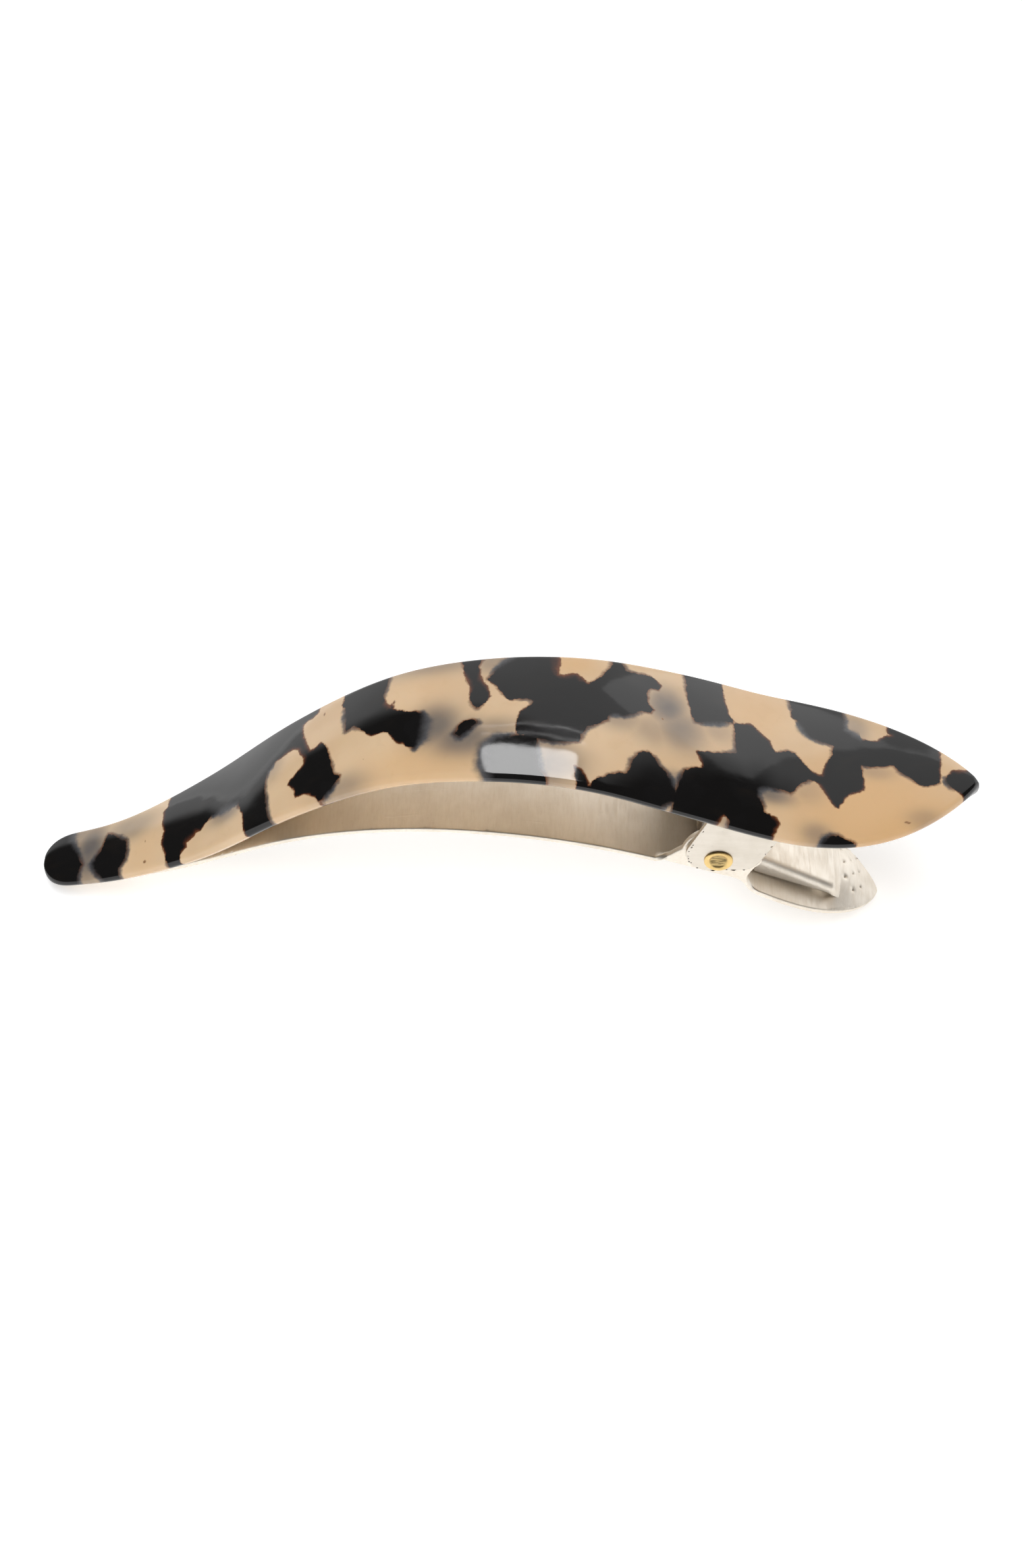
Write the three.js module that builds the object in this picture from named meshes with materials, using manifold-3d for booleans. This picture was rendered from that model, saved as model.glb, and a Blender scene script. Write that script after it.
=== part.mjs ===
// Beak hair clip: an arched acetate cover over a sprung steel jaw.
// Millimetres, +Z up. X runs along the clip, from the narrow tail (-X) to the pointed head (+X),
// and Y runs across it. The clip lies on its tail and on the tip of its thumb plate, at z = 0.

import * as THREE from 'three';
import { mergeVertices } from 'three/addons/utils/BufferGeometryUtils.js';
import Module from 'manifold-3d';

const wasm = await Module();
wasm.setup();

// Driving dimensions

// Acetate cover
const TAIL_X = -60.6;
const HEAD_X = 59.7;
const COVER_THICKNESS = 2.6;
const COVER_EDGE_RADIUS = 1.3;
const COVER_CROWN = 1.2;
const COVER_WIDEST = 11.65;
const COVER_WIDEST_X = 33.5;
const TAIL_ROUNDING = 4;
const TAIL_SQUARENESS = 2.5;
const HEAD_FULLNESS = 2.5;
const HEAD_BLUNTNESS = 0.88;

// Hinge: its pin, and the frame it shares with the bracket, tilted like the cover above it
const PIN_X = 27.1;
const PIN_Z = 17.4;
const HINGE_PITCH = THREE.MathUtils.degToRad(20);
const PIN_RADIUS = 1.3;
const PIN_HEAD_RADIUS = 1.8;
const PIN_HEAD_OUT = 9.5;
const PIN_HEAD_IN = 9.12;
const PIN_BORE_RADIUS = 0.95;
const PIN_BORE_DEPTH = 2.2;
const PIN_CLEARANCE = 0.1;

// Steel bracket under the cover
const SHEET = 0.8;
const BRACKET_TOP = 7.2;
const BRACKET_FRONT = -6.5;
const BRACKET_REAR = 7.5;
const BRACKET_NECK = 8.1;
const BRACKET_EAR_OUTSIDE = 9.05;
const BRACKET_CORNER = 1.5;
const EAR_ROOT_FRONT = -4.1;
const EAR_ROOT_REAR = 5.4;
const RELIEF_WIDTH = 0.7;

// Flat seat moulded under the cover for the bracket
const SEAT_HALF_WIDTH = 7.8;
const SEAT_HEIGHT = 2;
const SEAT_INSET = 0.3;
const SEAT_GAP = 0.02;

// Screws that hold the bracket to the cover
const SCREW_U = 1.5;
const SCREW_Y = 5.3;
const SCREW_RADIUS = 0.7;
const SCREW_HEAD_RADIUS = 1.3;
const SCREW_HEAD_HEIGHT = 0.6;
const SCREW_TIP = 9.5;
const SCREW_GAP = 0.3;

// Steel jaw with its ears and thumb plate
const JAW_FRONT_X = -50;
const JAW_HALF_WIDTH = 8;
const JAW_CAMBER = 0.5;
const FLOOR_DEPTH = 4.1;
const JAW_EAR_RADIUS = 4.6;
const THUMB_TIP_X = 49.05;
const THUMB_TIP_Z = 0.37;
const THUMB_PITCH = THREE.MathUtils.degToRad(30.3);
const THUMB_HALF_WIDTH = 8.05;
const THUMB_WIDEST_X = 32.5;
const THUMB_FULLNESS = 2.3;
const THUMB_BLUNTNESS = 0.75;

// Spring pocket raised over a window in the thumb plate, placed by the distance back from its tip
const POCKET_MOUTH = -20.5;
const POCKET_RAMP = -8.6;
const POCKET_END = -6.2;
const POCKET_HALF_WIDTH = 4.9;
const POCKET_MOUTH_HALF_WIDTH = 5.5;
const POCKET_HEIGHT = 2.6;
const POCKET_MOUTH_HEIGHT = 3.1;
const POCKET_WALL = 0.5;
const POCKET_MOUTH_WALL = 1.5;
const POCKET_SHOULDER = 0.5;
const POCKET_SHEET = 0.6;
const WINDOW_END = -7.6;
const WINDOW_HALF_WIDTH = 3.4;

// Leaf spring folded round the pin
const SPRING_THICKNESS = 0.7;
const SPRING_HALF_WIDTH = 3.6;
const SPRING_BEND_RADIUS = 2.3;
const SPRING_UPPER_SLOPE = THREE.MathUtils.degToRad(21.5);
const SPRING_LOWER_SLOPE = THREE.MathUtils.degToRad(9.3);
const SPRING_UPPER_LENGTH = 9.8;
const SPRING_LOWER_LENGTH = 18;

// Fineness of the mesh
const COVER_STATIONS = 60;
const EDGE_STEPS = 4;
const FLAT_STEPS = 6;
const JAW_STATIONS = 70;
const ROUND_STEPS = 32;

// Shared helpers

// A smooth curve y(x) through a few points; each slope comes from the two neighbours.
function through(points) {
  const last = points.length - 1;
  const slope = (i) => {
    const before = points[Math.max(i - 1, 0)];
    const after = points[Math.min(i + 1, last)];
    return (after[1] - before[1]) / (after[0] - before[0]);
  };
  return (x) => {
    let i = 0;
    while (i < last - 1 && x > points[i + 1][0]) i += 1;
    const step = points[i + 1][0] - points[i][0];
    const t = (x - points[i][0]) / step;
    const start = points[i][1] * (2 * t ** 3 - 3 * t ** 2 + 1);
    const end = points[i + 1][1] * (3 * t ** 2 - 2 * t ** 3);
    const leaving = slope(i) * step * (t ** 3 - 2 * t ** 2 + t);
    const arriving = slope(i + 1) * step * (t ** 3 - t ** 2);
    return start + end + leaving + arriving;
  };
}

// A closed mesh with merged vertices and its faces pointing out.
function closed(geometry) {
  geometry.deleteAttribute('normal');
  geometry.deleteAttribute('uv');
  const merged = mergeVertices(geometry, 1e-4);
  const place = merged.getAttribute('position');
  const index = merged.getIndex();
  const corner = [new THREE.Vector3(), new THREE.Vector3(), new THREE.Vector3()];
  const kept = [];
  let volume = 0;
  for (let i = 0; i < index.count; i += 3) {
    const ids = [index.getX(i), index.getX(i + 1), index.getX(i + 2)];
    if (ids[0] === ids[1] || ids[1] === ids[2] || ids[2] === ids[0]) continue;
    ids.forEach((id, k) => corner[k].fromBufferAttribute(place, id));
    volume += corner[0].dot(corner[1].clone().cross(corner[2]));
    kept.push(ids);
  }
  merged.setIndex(kept.flatMap(([a, b, c]) => (volume > 0 ? [a, b, c] : [a, c, b])));
  return merged;
}

function toSolid(geometry) {
  const mesh = closed(geometry);
  return new wasm.Manifold(new wasm.Mesh({
    numProp: 3,
    vertProperties: new Float32Array(mesh.getAttribute('position').array),
    triVerts: new Uint32Array(mesh.getIndex().array),
  }));
}

function fromSolid(solid) {
  const mesh = solid.getMesh();
  const geometry = new THREE.BufferGeometry();
  geometry.setAttribute('position', new THREE.BufferAttribute(mesh.vertProperties, 3));
  geometry.setIndex(new THREE.BufferAttribute(mesh.triVerts, 1));
  return geometry;
}

// A closed skin over a row of rings with the same number of points, with both ends filled.
function loft(rings) {
  const count = rings[0].length;
  const points = rings.flat();
  const triangles = [];
  for (let i = 0; i < rings.length - 1; i += 1) {
    for (let j = 0; j < count; j += 1) {
      const a = i * count + j;
      const b = i * count + ((j + 1) % count);
      triangles.push(a, b, b + count, a, b + count, a + count);
    }
  }
  const end = (rings.length - 1) * count;
  for (let j = 1; j < count - 1; j += 1) {
    triangles.push(0, j + 1, j, end, end + j, end + j + 1);
  }
  const geometry = new THREE.BufferGeometry().setFromPoints(points);
  geometry.setIndex(triangles);
  return geometry;
}

// Places geometry drawn in the hinge frame: x along the bracket, z away from its base.
const hingeFrame = new THREE.Matrix4()
  .makeTranslation(PIN_X, 0, PIN_Z)
  .multiply(new THREE.Matrix4().makeRotationY(HINGE_PITCH));

// Places geometry drawn in the thumb plate's frame: x back from its tip, z out of its upper face.
const thumbFrame = new THREE.Matrix4()
  .makeTranslation(THUMB_TIP_X, 0, THUMB_TIP_Z)
  .multiply(new THREE.Matrix4().makeRotationY(THUMB_PITCH));

function inFrame(frame, x, z) {
  return new THREE.Vector3(x, 0, z).applyMatrix4(frame);
}

// An outline drawn in the X-Z plane, made into a plate from y = near to y = far.
function plateAcross(shape, near, far) {
  const geometry = new THREE.ExtrudeGeometry(shape, {
    depth: far - near,
    bevelEnabled: false,
    curveSegments: 14,
  });
  return geometry.rotateX(Math.PI / 2).translate(0, far, 0);
}

function cylinderUp(radius, bottom, top, x, y) {
  const geometry = new THREE.CylinderGeometry(radius, radius, top - bottom, 20);
  return geometry.rotateX(Math.PI / 2).translate(x, y, (bottom + top) / 2);
}

// Acetate cover

const coverHeight = through([
  [TAIL_X, 1.1], [-50, 4.45], [-38, 11.9], [-26, 22], [-14, 29.4], [-2, 32.15],
  [10, 31.8], [22, 28.4], [34, 24.2], [46, 22.1], [HEAD_X, 22.15],
]);

const coverBodyWidth = through([
  [TAIL_X, 3.95], [-50, 4.95], [-38, 6.7], [-26, 7.95], [-8, 9.45], [10, 10.6],
  [22, 11.4], [COVER_WIDEST_X, COVER_WIDEST], [HEAD_X, COVER_WIDEST],
]);

function coverHalfWidth(x) {
  const intoTail = Math.max(0, (TAIL_X + TAIL_ROUNDING - x) / TAIL_ROUNDING);
  const intoHead = Math.max(0, (x - COVER_WIDEST_X) / (HEAD_X - COVER_WIDEST_X));
  const tail = (1 - Math.min(1, intoTail) ** TAIL_SQUARENESS) ** (1 / TAIL_SQUARENESS);
  const head = (1 - Math.min(1, intoHead) ** HEAD_FULLNESS) ** HEAD_BLUNTNESS;
  return coverBodyWidth(x) * tail * head;
}

// One section of the cover, square to its centre line, with half-round edges.
function coverRing(x) {
  const width = Math.max(coverHalfWidth(x), 1e-3);
  const edge = Math.min(COVER_EDGE_RADIUS, width);
  const thinning = 1 - edge / COVER_EDGE_RADIUS;
  const halfThickness = (COVER_THICKNESS / 2) * Math.sqrt(1 - thinning ** 2);
  const rise = (coverHeight(x + 0.01) - coverHeight(x - 0.01)) / 0.02;
  const length = Math.hypot(1, rise);
  const across = [];
  for (let i = 0; i <= EDGE_STEPS; i += 1) {
    const turn = (Math.PI / 2) * (i / EDGE_STEPS);
    across.push([width - edge * (1 - Math.cos(turn)), Math.sin(turn)]);
  }
  for (let i = 1; i < FLAT_STEPS; i += 1) {
    across.push([(width - edge) * (1 - (2 * i) / FLAT_STEPS), 1]);
  }
  for (let i = EDGE_STEPS; i >= 0; i -= 1) {
    const turn = (Math.PI / 2) * (i / EDGE_STEPS);
    across.push([edge * (1 - Math.cos(turn)) - width, Math.sin(turn)]);
  }
  const place = ([y, thickness], side) => {
    const crown = COVER_CROWN * (width / COVER_WIDEST) * (1 - (y / width) ** 2);
    const out = crown + side * thickness * halfThickness;
    return new THREE.Vector3(x - (out * rise) / length, y, coverHeight(x) + out / length);
  };
  const top = across.map((point) => place(point, 1));
  const bottom = across.slice(1, -1).reverse().map((point) => place(point, -1));
  return [...top, ...bottom];
}

// The seat, drawn in the hinge frame: it fills the hollow between the crowned cover and the bracket.
function coverSeat() {
  const length = BRACKET_REAR - BRACKET_FRONT - 2 * SEAT_INSET;
  const middle = (BRACKET_FRONT + BRACKET_REAR) / 2;
  const seat = new THREE.BoxGeometry(length, 2 * SEAT_HALF_WIDTH, SEAT_HEIGHT - SEAT_GAP);
  return seat.translate(middle, 0, BRACKET_TOP + (SEAT_HEIGHT + SEAT_GAP) / 2);
}

function makeCover() {
  const rings = [];
  for (let i = 0; i <= COVER_STATIONS; i += 1) {
    const part = (1 - Math.cos((Math.PI * i) / COVER_STATIONS)) / 2;
    rings.push(coverRing(THREE.MathUtils.lerp(TAIL_X, HEAD_X, part)));
  }
  let cover = toSolid(loft(rings)).add(toSolid(coverSeat().applyMatrix4(hingeFrame)));
  for (const y of [-SCREW_Y, SCREW_Y]) {
    const hole = cylinderUp(SCREW_RADIUS + SCREW_GAP, BRACKET_TOP, SCREW_TIP + SCREW_GAP, SCREW_U, y);
    cover = cover.subtract(toSolid(hole.applyMatrix4(hingeFrame)));
  }
  return fromSolid(cover);
}

// Bracket: a base plate under the cover, with two ears bent down beside the jaw

function bracketEarOutline() {
  const shape = new THREE.Shape();
  const middle = BRACKET_TOP - SHEET / 2;
  shape.moveTo(EAR_ROOT_FRONT, middle);
  shape.lineTo(-4.4, 0.6);
  shape.absarc(-1.2, 0.6, 3.2, Math.PI, (285 / 180) * Math.PI, false);
  shape.lineTo(3.4, -0.82);
  shape.quadraticCurveTo(4.8, -0.2, 5, 1.8);
  shape.lineTo(EAR_ROOT_REAR, middle);
  shape.closePath();
  const hole = new THREE.Path();
  hole.absarc(0, 0, PIN_RADIUS + PIN_CLEARANCE, 0, 2 * Math.PI, true);
  shape.holes.push(hole);
  return shape;
}

function bracketBaseOutline() {
  const shape = new THREE.Shape();
  const outer = BRACKET_EAR_OUTSIDE;
  const round = BRACKET_CORNER;
  shape.moveTo(BRACKET_FRONT, -BRACKET_NECK + round);
  shape.lineTo(BRACKET_FRONT, BRACKET_NECK - round);
  shape.quadraticCurveTo(BRACKET_FRONT, BRACKET_NECK, BRACKET_FRONT + round, BRACKET_NECK);
  shape.lineTo(EAR_ROOT_FRONT, BRACKET_NECK);
  shape.lineTo(EAR_ROOT_FRONT, outer);
  shape.lineTo(EAR_ROOT_REAR, outer);
  shape.lineTo(EAR_ROOT_REAR, BRACKET_NECK);
  shape.lineTo(BRACKET_REAR - round, BRACKET_NECK);
  shape.quadraticCurveTo(BRACKET_REAR, BRACKET_NECK, BRACKET_REAR, BRACKET_NECK - round);
  shape.lineTo(BRACKET_REAR, -BRACKET_NECK + round);
  shape.quadraticCurveTo(BRACKET_REAR, -BRACKET_NECK, BRACKET_REAR - round, -BRACKET_NECK);
  shape.lineTo(EAR_ROOT_REAR, -BRACKET_NECK);
  shape.lineTo(EAR_ROOT_REAR, -outer);
  shape.lineTo(EAR_ROOT_FRONT, -outer);
  shape.lineTo(EAR_ROOT_FRONT, -BRACKET_NECK);
  shape.lineTo(BRACKET_FRONT + round, -BRACKET_NECK);
  shape.quadraticCurveTo(BRACKET_FRONT, -BRACKET_NECK, BRACKET_FRONT, -BRACKET_NECK + round);
  return shape;
}

function makeBracket() {
  const base = new THREE.ExtrudeGeometry(bracketBaseOutline(), {
    depth: SHEET,
    bevelEnabled: false,
    curveSegments: 6,
  });
  let bracket = toSolid(base.translate(0, 0, BRACKET_TOP - SHEET));
  for (const side of [-1, 1]) {
    const faces = [side * BRACKET_EAR_OUTSIDE, side * (BRACKET_EAR_OUTSIDE - SHEET)];
    const ear = plateAcross(bracketEarOutline(), Math.min(...faces), Math.max(...faces));
    bracket = bracket.add(toSolid(ear));
    const hole = cylinderUp(
      SCREW_RADIUS + SCREW_GAP,
      BRACKET_TOP - 2 * SHEET,
      BRACKET_TOP + SHEET,
      SCREW_U,
      side * SCREW_Y,
    );
    bracket = bracket.subtract(toSolid(hole));
    for (const u of [EAR_ROOT_FRONT - RELIEF_WIDTH / 2, EAR_ROOT_REAR + RELIEF_WIDTH / 2]) {
      const relief = new THREE.BoxGeometry(RELIEF_WIDTH, 2 * SHEET, 3 * SHEET);
      relief.translate(u, side * (BRACKET_NECK + SHEET / 4), BRACKET_TOP - SHEET / 2);
      bracket = bracket.subtract(toSolid(relief));
    }
  }
  return fromSolid(bracket).applyMatrix4(hingeFrame);
}

// Screw: a low round head under the bracket and a plain shank up into the cover

function makeScrew(y) {
  const headTop = BRACKET_TOP - SHEET - 0.02;
  const headBottom = headTop - SCREW_HEAD_HEIGHT;
  const profile = [
    new THREE.Vector2(0, headBottom),
    new THREE.Vector2(SCREW_HEAD_RADIUS * 0.7, headBottom + 0.05),
    new THREE.Vector2(SCREW_HEAD_RADIUS, headBottom + SCREW_HEAD_HEIGHT * 0.5),
    new THREE.Vector2(SCREW_HEAD_RADIUS, headTop),
    new THREE.Vector2(SCREW_RADIUS, headTop),
    new THREE.Vector2(SCREW_RADIUS, SCREW_TIP - 0.3),
    new THREE.Vector2(SCREW_RADIUS - 0.3, SCREW_TIP),
    new THREE.Vector2(0, SCREW_TIP),
  ];
  const screw = new THREE.LatheGeometry(profile, 20).rotateX(Math.PI / 2).translate(SCREW_U, y, 0);
  return closed(screw.applyMatrix4(hingeFrame));
}

// Jaw: one stamping, with the gripping strip, the two ears, the thumb plate and its spring pocket

const floorPoint = (u) => {
  const point = inFrame(hingeFrame, u, -FLOOR_DEPTH);
  return [point.x, point.z];
};

const thumbPoint = (back) => {
  const point = inFrame(thumbFrame, back, 0);
  return [point.x, point.z];
};

const jawHeight = through([
  [JAW_FRONT_X, 1.95], [-45, 4.5], [-40, 7.6], [-36, 10.6], [-30.5, 14.1], [-25, 16.65],
  [-19, 18.5], [-12, 19.65], [-5, 19.95], [3, 19.5], [12, 17.95],
  floorPoint(-6.6), floorPoint(-4.6), floorPoint(2.6), floorPoint(4.6),
  thumbPoint(-20.6), thumbPoint(-18.6), thumbPoint(-4), thumbPoint(0),
]);

const jawBodyWidth = through([
  [JAW_FRONT_X, 1.8], [-47, 2.7], [-44, 3.3], [-40, 4.1], [-36, 5.2], [-30, 6.15], [-20, 7],
  [-8, 7.5], [4, 7.85], [16, JAW_HALF_WIDTH], [29, JAW_HALF_WIDTH],
  [THUMB_WIDEST_X, THUMB_HALF_WIDTH],
]);

function jawHalfWidth(x) {
  if (x < THUMB_WIDEST_X) return jawBodyWidth(x);
  const along = Math.min(1, (x - THUMB_WIDEST_X) / (THUMB_TIP_X - THUMB_WIDEST_X));
  return Math.max(0.5, THUMB_HALF_WIDTH * (1 - along ** THUMB_FULLNESS) ** THUMB_BLUNTNESS);
}

// One section of the jaw's sheet: slightly arched across the gripping strip, flat further back.
function jawRing(x) {
  const width = jawHalfWidth(x);
  const rise = (jawHeight(x + 0.01) - jawHeight(x - 0.01)) / 0.02;
  const length = Math.hypot(1, rise);
  const camber = JAW_CAMBER * THREE.MathUtils.smoothstep(16 - x, 0, 12);
  const fractions = [1, 0.8, 0.5, 0, -0.5, -0.8, -1];
  const place = (fraction, side) => {
    const out = camber * (1 - fraction ** 2) + (side * SHEET) / 2;
    return new THREE.Vector3(x - (out * rise) / length, fraction * width, jawHeight(x) + out / length);
  };
  const top = fractions.map((fraction) => place(fraction, 1));
  const bottom = fractions.map((fraction) => place(fraction, -1)).reverse();
  return [...top, ...bottom];
}

function jawEarOutline() {
  const shape = new THREE.Shape();
  shape.moveTo(-6.1, -FLOOR_DEPTH);
  shape.quadraticCurveTo(-5.5, -3, -4.95, -1.3);
  shape.absarc(0, 0, JAW_EAR_RADIUS, (190 / 180) * Math.PI, (-10 / 180) * Math.PI, true);
  shape.lineTo(4.7, -FLOOR_DEPTH);
  shape.closePath();
  const hole = new THREE.Path();
  hole.absarc(0, 0, PIN_RADIUS + PIN_CLEARANCE, 0, 2 * Math.PI, false);
  shape.holes.push(hole);
  return shape;
}

// One section of the pocket: an inverted channel that ramps down into the plate at its end.
function pocketRing(back) {
  const level = THREE.MathUtils.smoothstep(POCKET_END - back, 0, POCKET_END - POCKET_RAMP);
  const toMouth = Math.max(0, (POCKET_RAMP - back) / (POCKET_RAMP - POCKET_MOUTH));
  const flush = SHEET / 2 - 0.02;
  const fullHeight = THREE.MathUtils.lerp(POCKET_HEIGHT, POCKET_MOUTH_HEIGHT, toMouth);
  const height = THREE.MathUtils.lerp(flush, fullHeight, level);
  const wall = THREE.MathUtils.lerp(POCKET_WALL, POCKET_MOUTH_WALL, toMouth) * level + 0.04;
  const shoulder = POCKET_SHOULDER * level + 0.02;
  const outside = THREE.MathUtils.lerp(POCKET_HALF_WIDTH, POCKET_MOUTH_HALF_WIDTH, toMouth);
  const inside = outside - POCKET_SHEET;
  const half = [
    [outside - POCKET_SHOULDER, height], [outside, height - shoulder], [outside, height - wall - 0.04],
    [inside, height - Math.max(wall, POCKET_SHEET) - 0.04],
    [inside, height - Math.max(shoulder, 0.1) - POCKET_SHEET * 0.6],
    [inside - 0.2, height - POCKET_SHEET],
  ];
  const mirrored = half.map(([y, z]) => [-y, z]).reverse();
  return [...half, ...mirrored].map(([y, z]) => new THREE.Vector3(back, y, z));
}

function makeJaw() {
  const rings = [];
  for (let i = 0; i <= JAW_STATIONS; i += 1) {
    rings.push(jawRing(THREE.MathUtils.lerp(JAW_FRONT_X, THUMB_TIP_X, i / JAW_STATIONS)));
  }
  let jaw = toSolid(loft(rings));
  for (const side of [-1, 1]) {
    const faces = [side * JAW_HALF_WIDTH, side * (JAW_HALF_WIDTH - SHEET)];
    const ear = plateAcross(jawEarOutline(), Math.min(...faces), Math.max(...faces));
    jaw = jaw.add(toSolid(ear.applyMatrix4(hingeFrame)));
  }
  const windowLength = WINDOW_END - POCKET_MOUTH;
  const window = new THREE.BoxGeometry(windowLength, 2 * WINDOW_HALF_WIDTH, 3 * SHEET);
  window.translate((WINDOW_END + POCKET_MOUTH) / 2, 0, 0);
  jaw = jaw.subtract(toSolid(window.applyMatrix4(thumbFrame)));
  const pocketRings = [POCKET_MOUTH, POCKET_RAMP];
  for (let i = 1; i <= 8; i += 1) {
    pocketRings.push(THREE.MathUtils.lerp(POCKET_RAMP, POCKET_END, i / 8));
  }
  const pocket = loft(pocketRings.map(pocketRing));
  return fromSolid(jaw.add(toSolid(pocket.applyMatrix4(thumbFrame))));
}

// Hinge pin: a rivet through all four ears, flared and hollow at both ends

function makePin() {
  const half = [
    [PIN_RADIUS, PIN_HEAD_IN], [PIN_HEAD_RADIUS, PIN_HEAD_IN], [PIN_HEAD_RADIUS, PIN_HEAD_OUT - 0.3],
    [PIN_HEAD_RADIUS - 0.15, PIN_HEAD_OUT - 0.08], [PIN_HEAD_RADIUS - 0.4, PIN_HEAD_OUT],
    [PIN_BORE_RADIUS + 0.2, PIN_HEAD_OUT - 0.08], [PIN_BORE_RADIUS, PIN_HEAD_OUT - 0.35],
    [PIN_BORE_RADIUS, PIN_HEAD_OUT - PIN_BORE_DEPTH], [0, PIN_HEAD_OUT - PIN_BORE_DEPTH],
  ];
  const lower = half.map(([radius, y]) => new THREE.Vector2(radius, -y)).reverse();
  const upper = half.map(([radius, y]) => new THREE.Vector2(radius, y));
  const pin = new THREE.LatheGeometry([...lower, ...upper], ROUND_STEPS);
  return closed(pin.translate(PIN_X, 0, PIN_Z));
}

// Leaf spring: a strip folded round the front of the pin, one leg up to the bracket and one in the pocket

function makeSpring() {
  const upper = Math.PI / 2 + SPRING_UPPER_SLOPE;
  const lower = (3 * Math.PI) / 2 - SPRING_LOWER_SLOPE;
  const legEnd = (turn, radius, run) => [
    radius * Math.cos(turn) + run * Math.abs(Math.sin(turn)),
    radius * Math.sin(turn) - run * Math.cos(turn) * Math.sign(Math.sin(turn)),
  ];
  const outer = SPRING_BEND_RADIUS + SPRING_THICKNESS / 2;
  const inner = SPRING_BEND_RADIUS - SPRING_THICKNESS / 2;
  const shape = new THREE.Shape();
  shape.moveTo(...legEnd(upper, outer, SPRING_UPPER_LENGTH));
  shape.absarc(0, 0, outer, upper, lower, false);
  shape.lineTo(...legEnd(lower, outer, SPRING_LOWER_LENGTH));
  shape.lineTo(...legEnd(lower, inner, SPRING_LOWER_LENGTH));
  shape.absarc(0, 0, inner, lower, upper, true);
  shape.lineTo(...legEnd(upper, inner, SPRING_UPPER_LENGTH));
  shape.closePath();
  const spring = plateAcross(shape, -SPRING_HALF_WIDTH, SPRING_HALF_WIDTH);
  return closed(spring.applyMatrix4(hingeFrame));
}

// Assembly: the origin is under the middle of the clip's length
const MIDDLE_X = -0.62;

const finishes = {
  acetate: { color: 0xd9b78c, roughness: 0.12, metalness: 0 },
  nickel: { color: 0xc9c1b2, roughness: 0.38, metalness: 1 },
  brass: { color: 0xc79a4a, roughness: 0.3, metalness: 1 },
  springSteel: { color: 0x8b8d90, roughness: 0.35, metalness: 1 },
};

const pieces = [
  ['cover', makeCover(), finishes.acetate],
  ['hinge_bracket', makeBracket(), finishes.nickel],
  ['bracket_screw_near', makeScrew(-SCREW_Y), finishes.nickel],
  ['bracket_screw_far', makeScrew(SCREW_Y), finishes.nickel],
  ['lower_jaw', makeJaw(), finishes.nickel],
  ['hinge_pin', makePin(), finishes.brass],
  ['leaf_spring', makeSpring(), finishes.springSteel],
];

const clip = new THREE.Group();
for (const [name, geometry, finish] of pieces) {
  const mesh = new THREE.Mesh(geometry, new THREE.MeshStandardMaterial(finish));
  mesh.name = name;
  clip.add(mesh);
}

clip.position.x = -MIDDLE_X;

export default clip;
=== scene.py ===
"""Beak hair clip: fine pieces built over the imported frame.

Lengths are in millimetres until a mesh is made, and then in metres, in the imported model's frame.
X runs along the clip from the narrow tail to the pointed head, and Z is up.
"""
import math

import bmesh
import bpy
import numpy as np
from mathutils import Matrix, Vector
from mathutils.geometry import delaunay_2d_cdt


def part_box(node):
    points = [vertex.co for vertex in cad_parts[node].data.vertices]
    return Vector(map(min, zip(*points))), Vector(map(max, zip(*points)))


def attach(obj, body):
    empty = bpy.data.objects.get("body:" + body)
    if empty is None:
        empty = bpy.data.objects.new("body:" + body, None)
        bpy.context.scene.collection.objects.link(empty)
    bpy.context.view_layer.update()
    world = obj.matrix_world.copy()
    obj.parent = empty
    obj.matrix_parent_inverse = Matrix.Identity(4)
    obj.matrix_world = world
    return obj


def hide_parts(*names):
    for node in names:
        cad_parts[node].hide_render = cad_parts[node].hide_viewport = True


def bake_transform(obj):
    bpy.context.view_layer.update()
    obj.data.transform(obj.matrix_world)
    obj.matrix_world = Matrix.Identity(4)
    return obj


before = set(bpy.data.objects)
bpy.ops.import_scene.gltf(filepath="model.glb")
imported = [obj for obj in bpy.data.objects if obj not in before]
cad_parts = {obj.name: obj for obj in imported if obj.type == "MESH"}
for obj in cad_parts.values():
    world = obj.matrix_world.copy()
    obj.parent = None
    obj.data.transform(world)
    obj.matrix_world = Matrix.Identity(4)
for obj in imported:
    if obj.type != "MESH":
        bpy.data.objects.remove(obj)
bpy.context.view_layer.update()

MM = 0.001

# ---- driving dimensions

PIN_X, PIN_Z = 27.1, 17.4
HINGE_PITCH = math.radians(20)
SHEET = 0.8

TAIL_X, HEAD_X = -60.6, 59.7
COVER_THICKNESS = 2.6
COVER_CROWN = 1.2
COVER_EDGE_REACH, COVER_EDGE_DROP = 0.72, 0.72
COVER_UNDER_REACH, COVER_UNDER_POWER, COVER_UNDER_LIMIT = 2.2, 1.5, 0.8
COVER_WIDEST, COVER_WIDEST_X = 11.65, 33.5
TAIL_ROUNDING, TAIL_SQUARENESS = 4, 2.5
HEAD_FULLNESS, HEAD_BLUNTNESS = 2.5, 0.88

JAW_FRONT_X = -50
JAW_HALF_WIDTH = 8
JAW_CAMBER = 0.5
FLOOR_DEPTH = 4.1
JAW_EAR_RADIUS = 4.6
RIVET_HOLE_RADIUS = 1.42
THUMB_TIP_X, THUMB_TIP_Z = 49.05, 0.37
THUMB_PITCH = math.radians(30.3)
THUMB_HALF_WIDTH, THUMB_WIDEST_X = 8.35, 32.5
THUMB_FULLNESS, THUMB_BLUNTNESS = 2.5, 0.68

# The pin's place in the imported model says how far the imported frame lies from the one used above.
pin_low, pin_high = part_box("hinge_pin")
SHIFT_X = (pin_low.x + pin_high.x) / 2 / MM - PIN_X


# ---- curves and meshes

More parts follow.
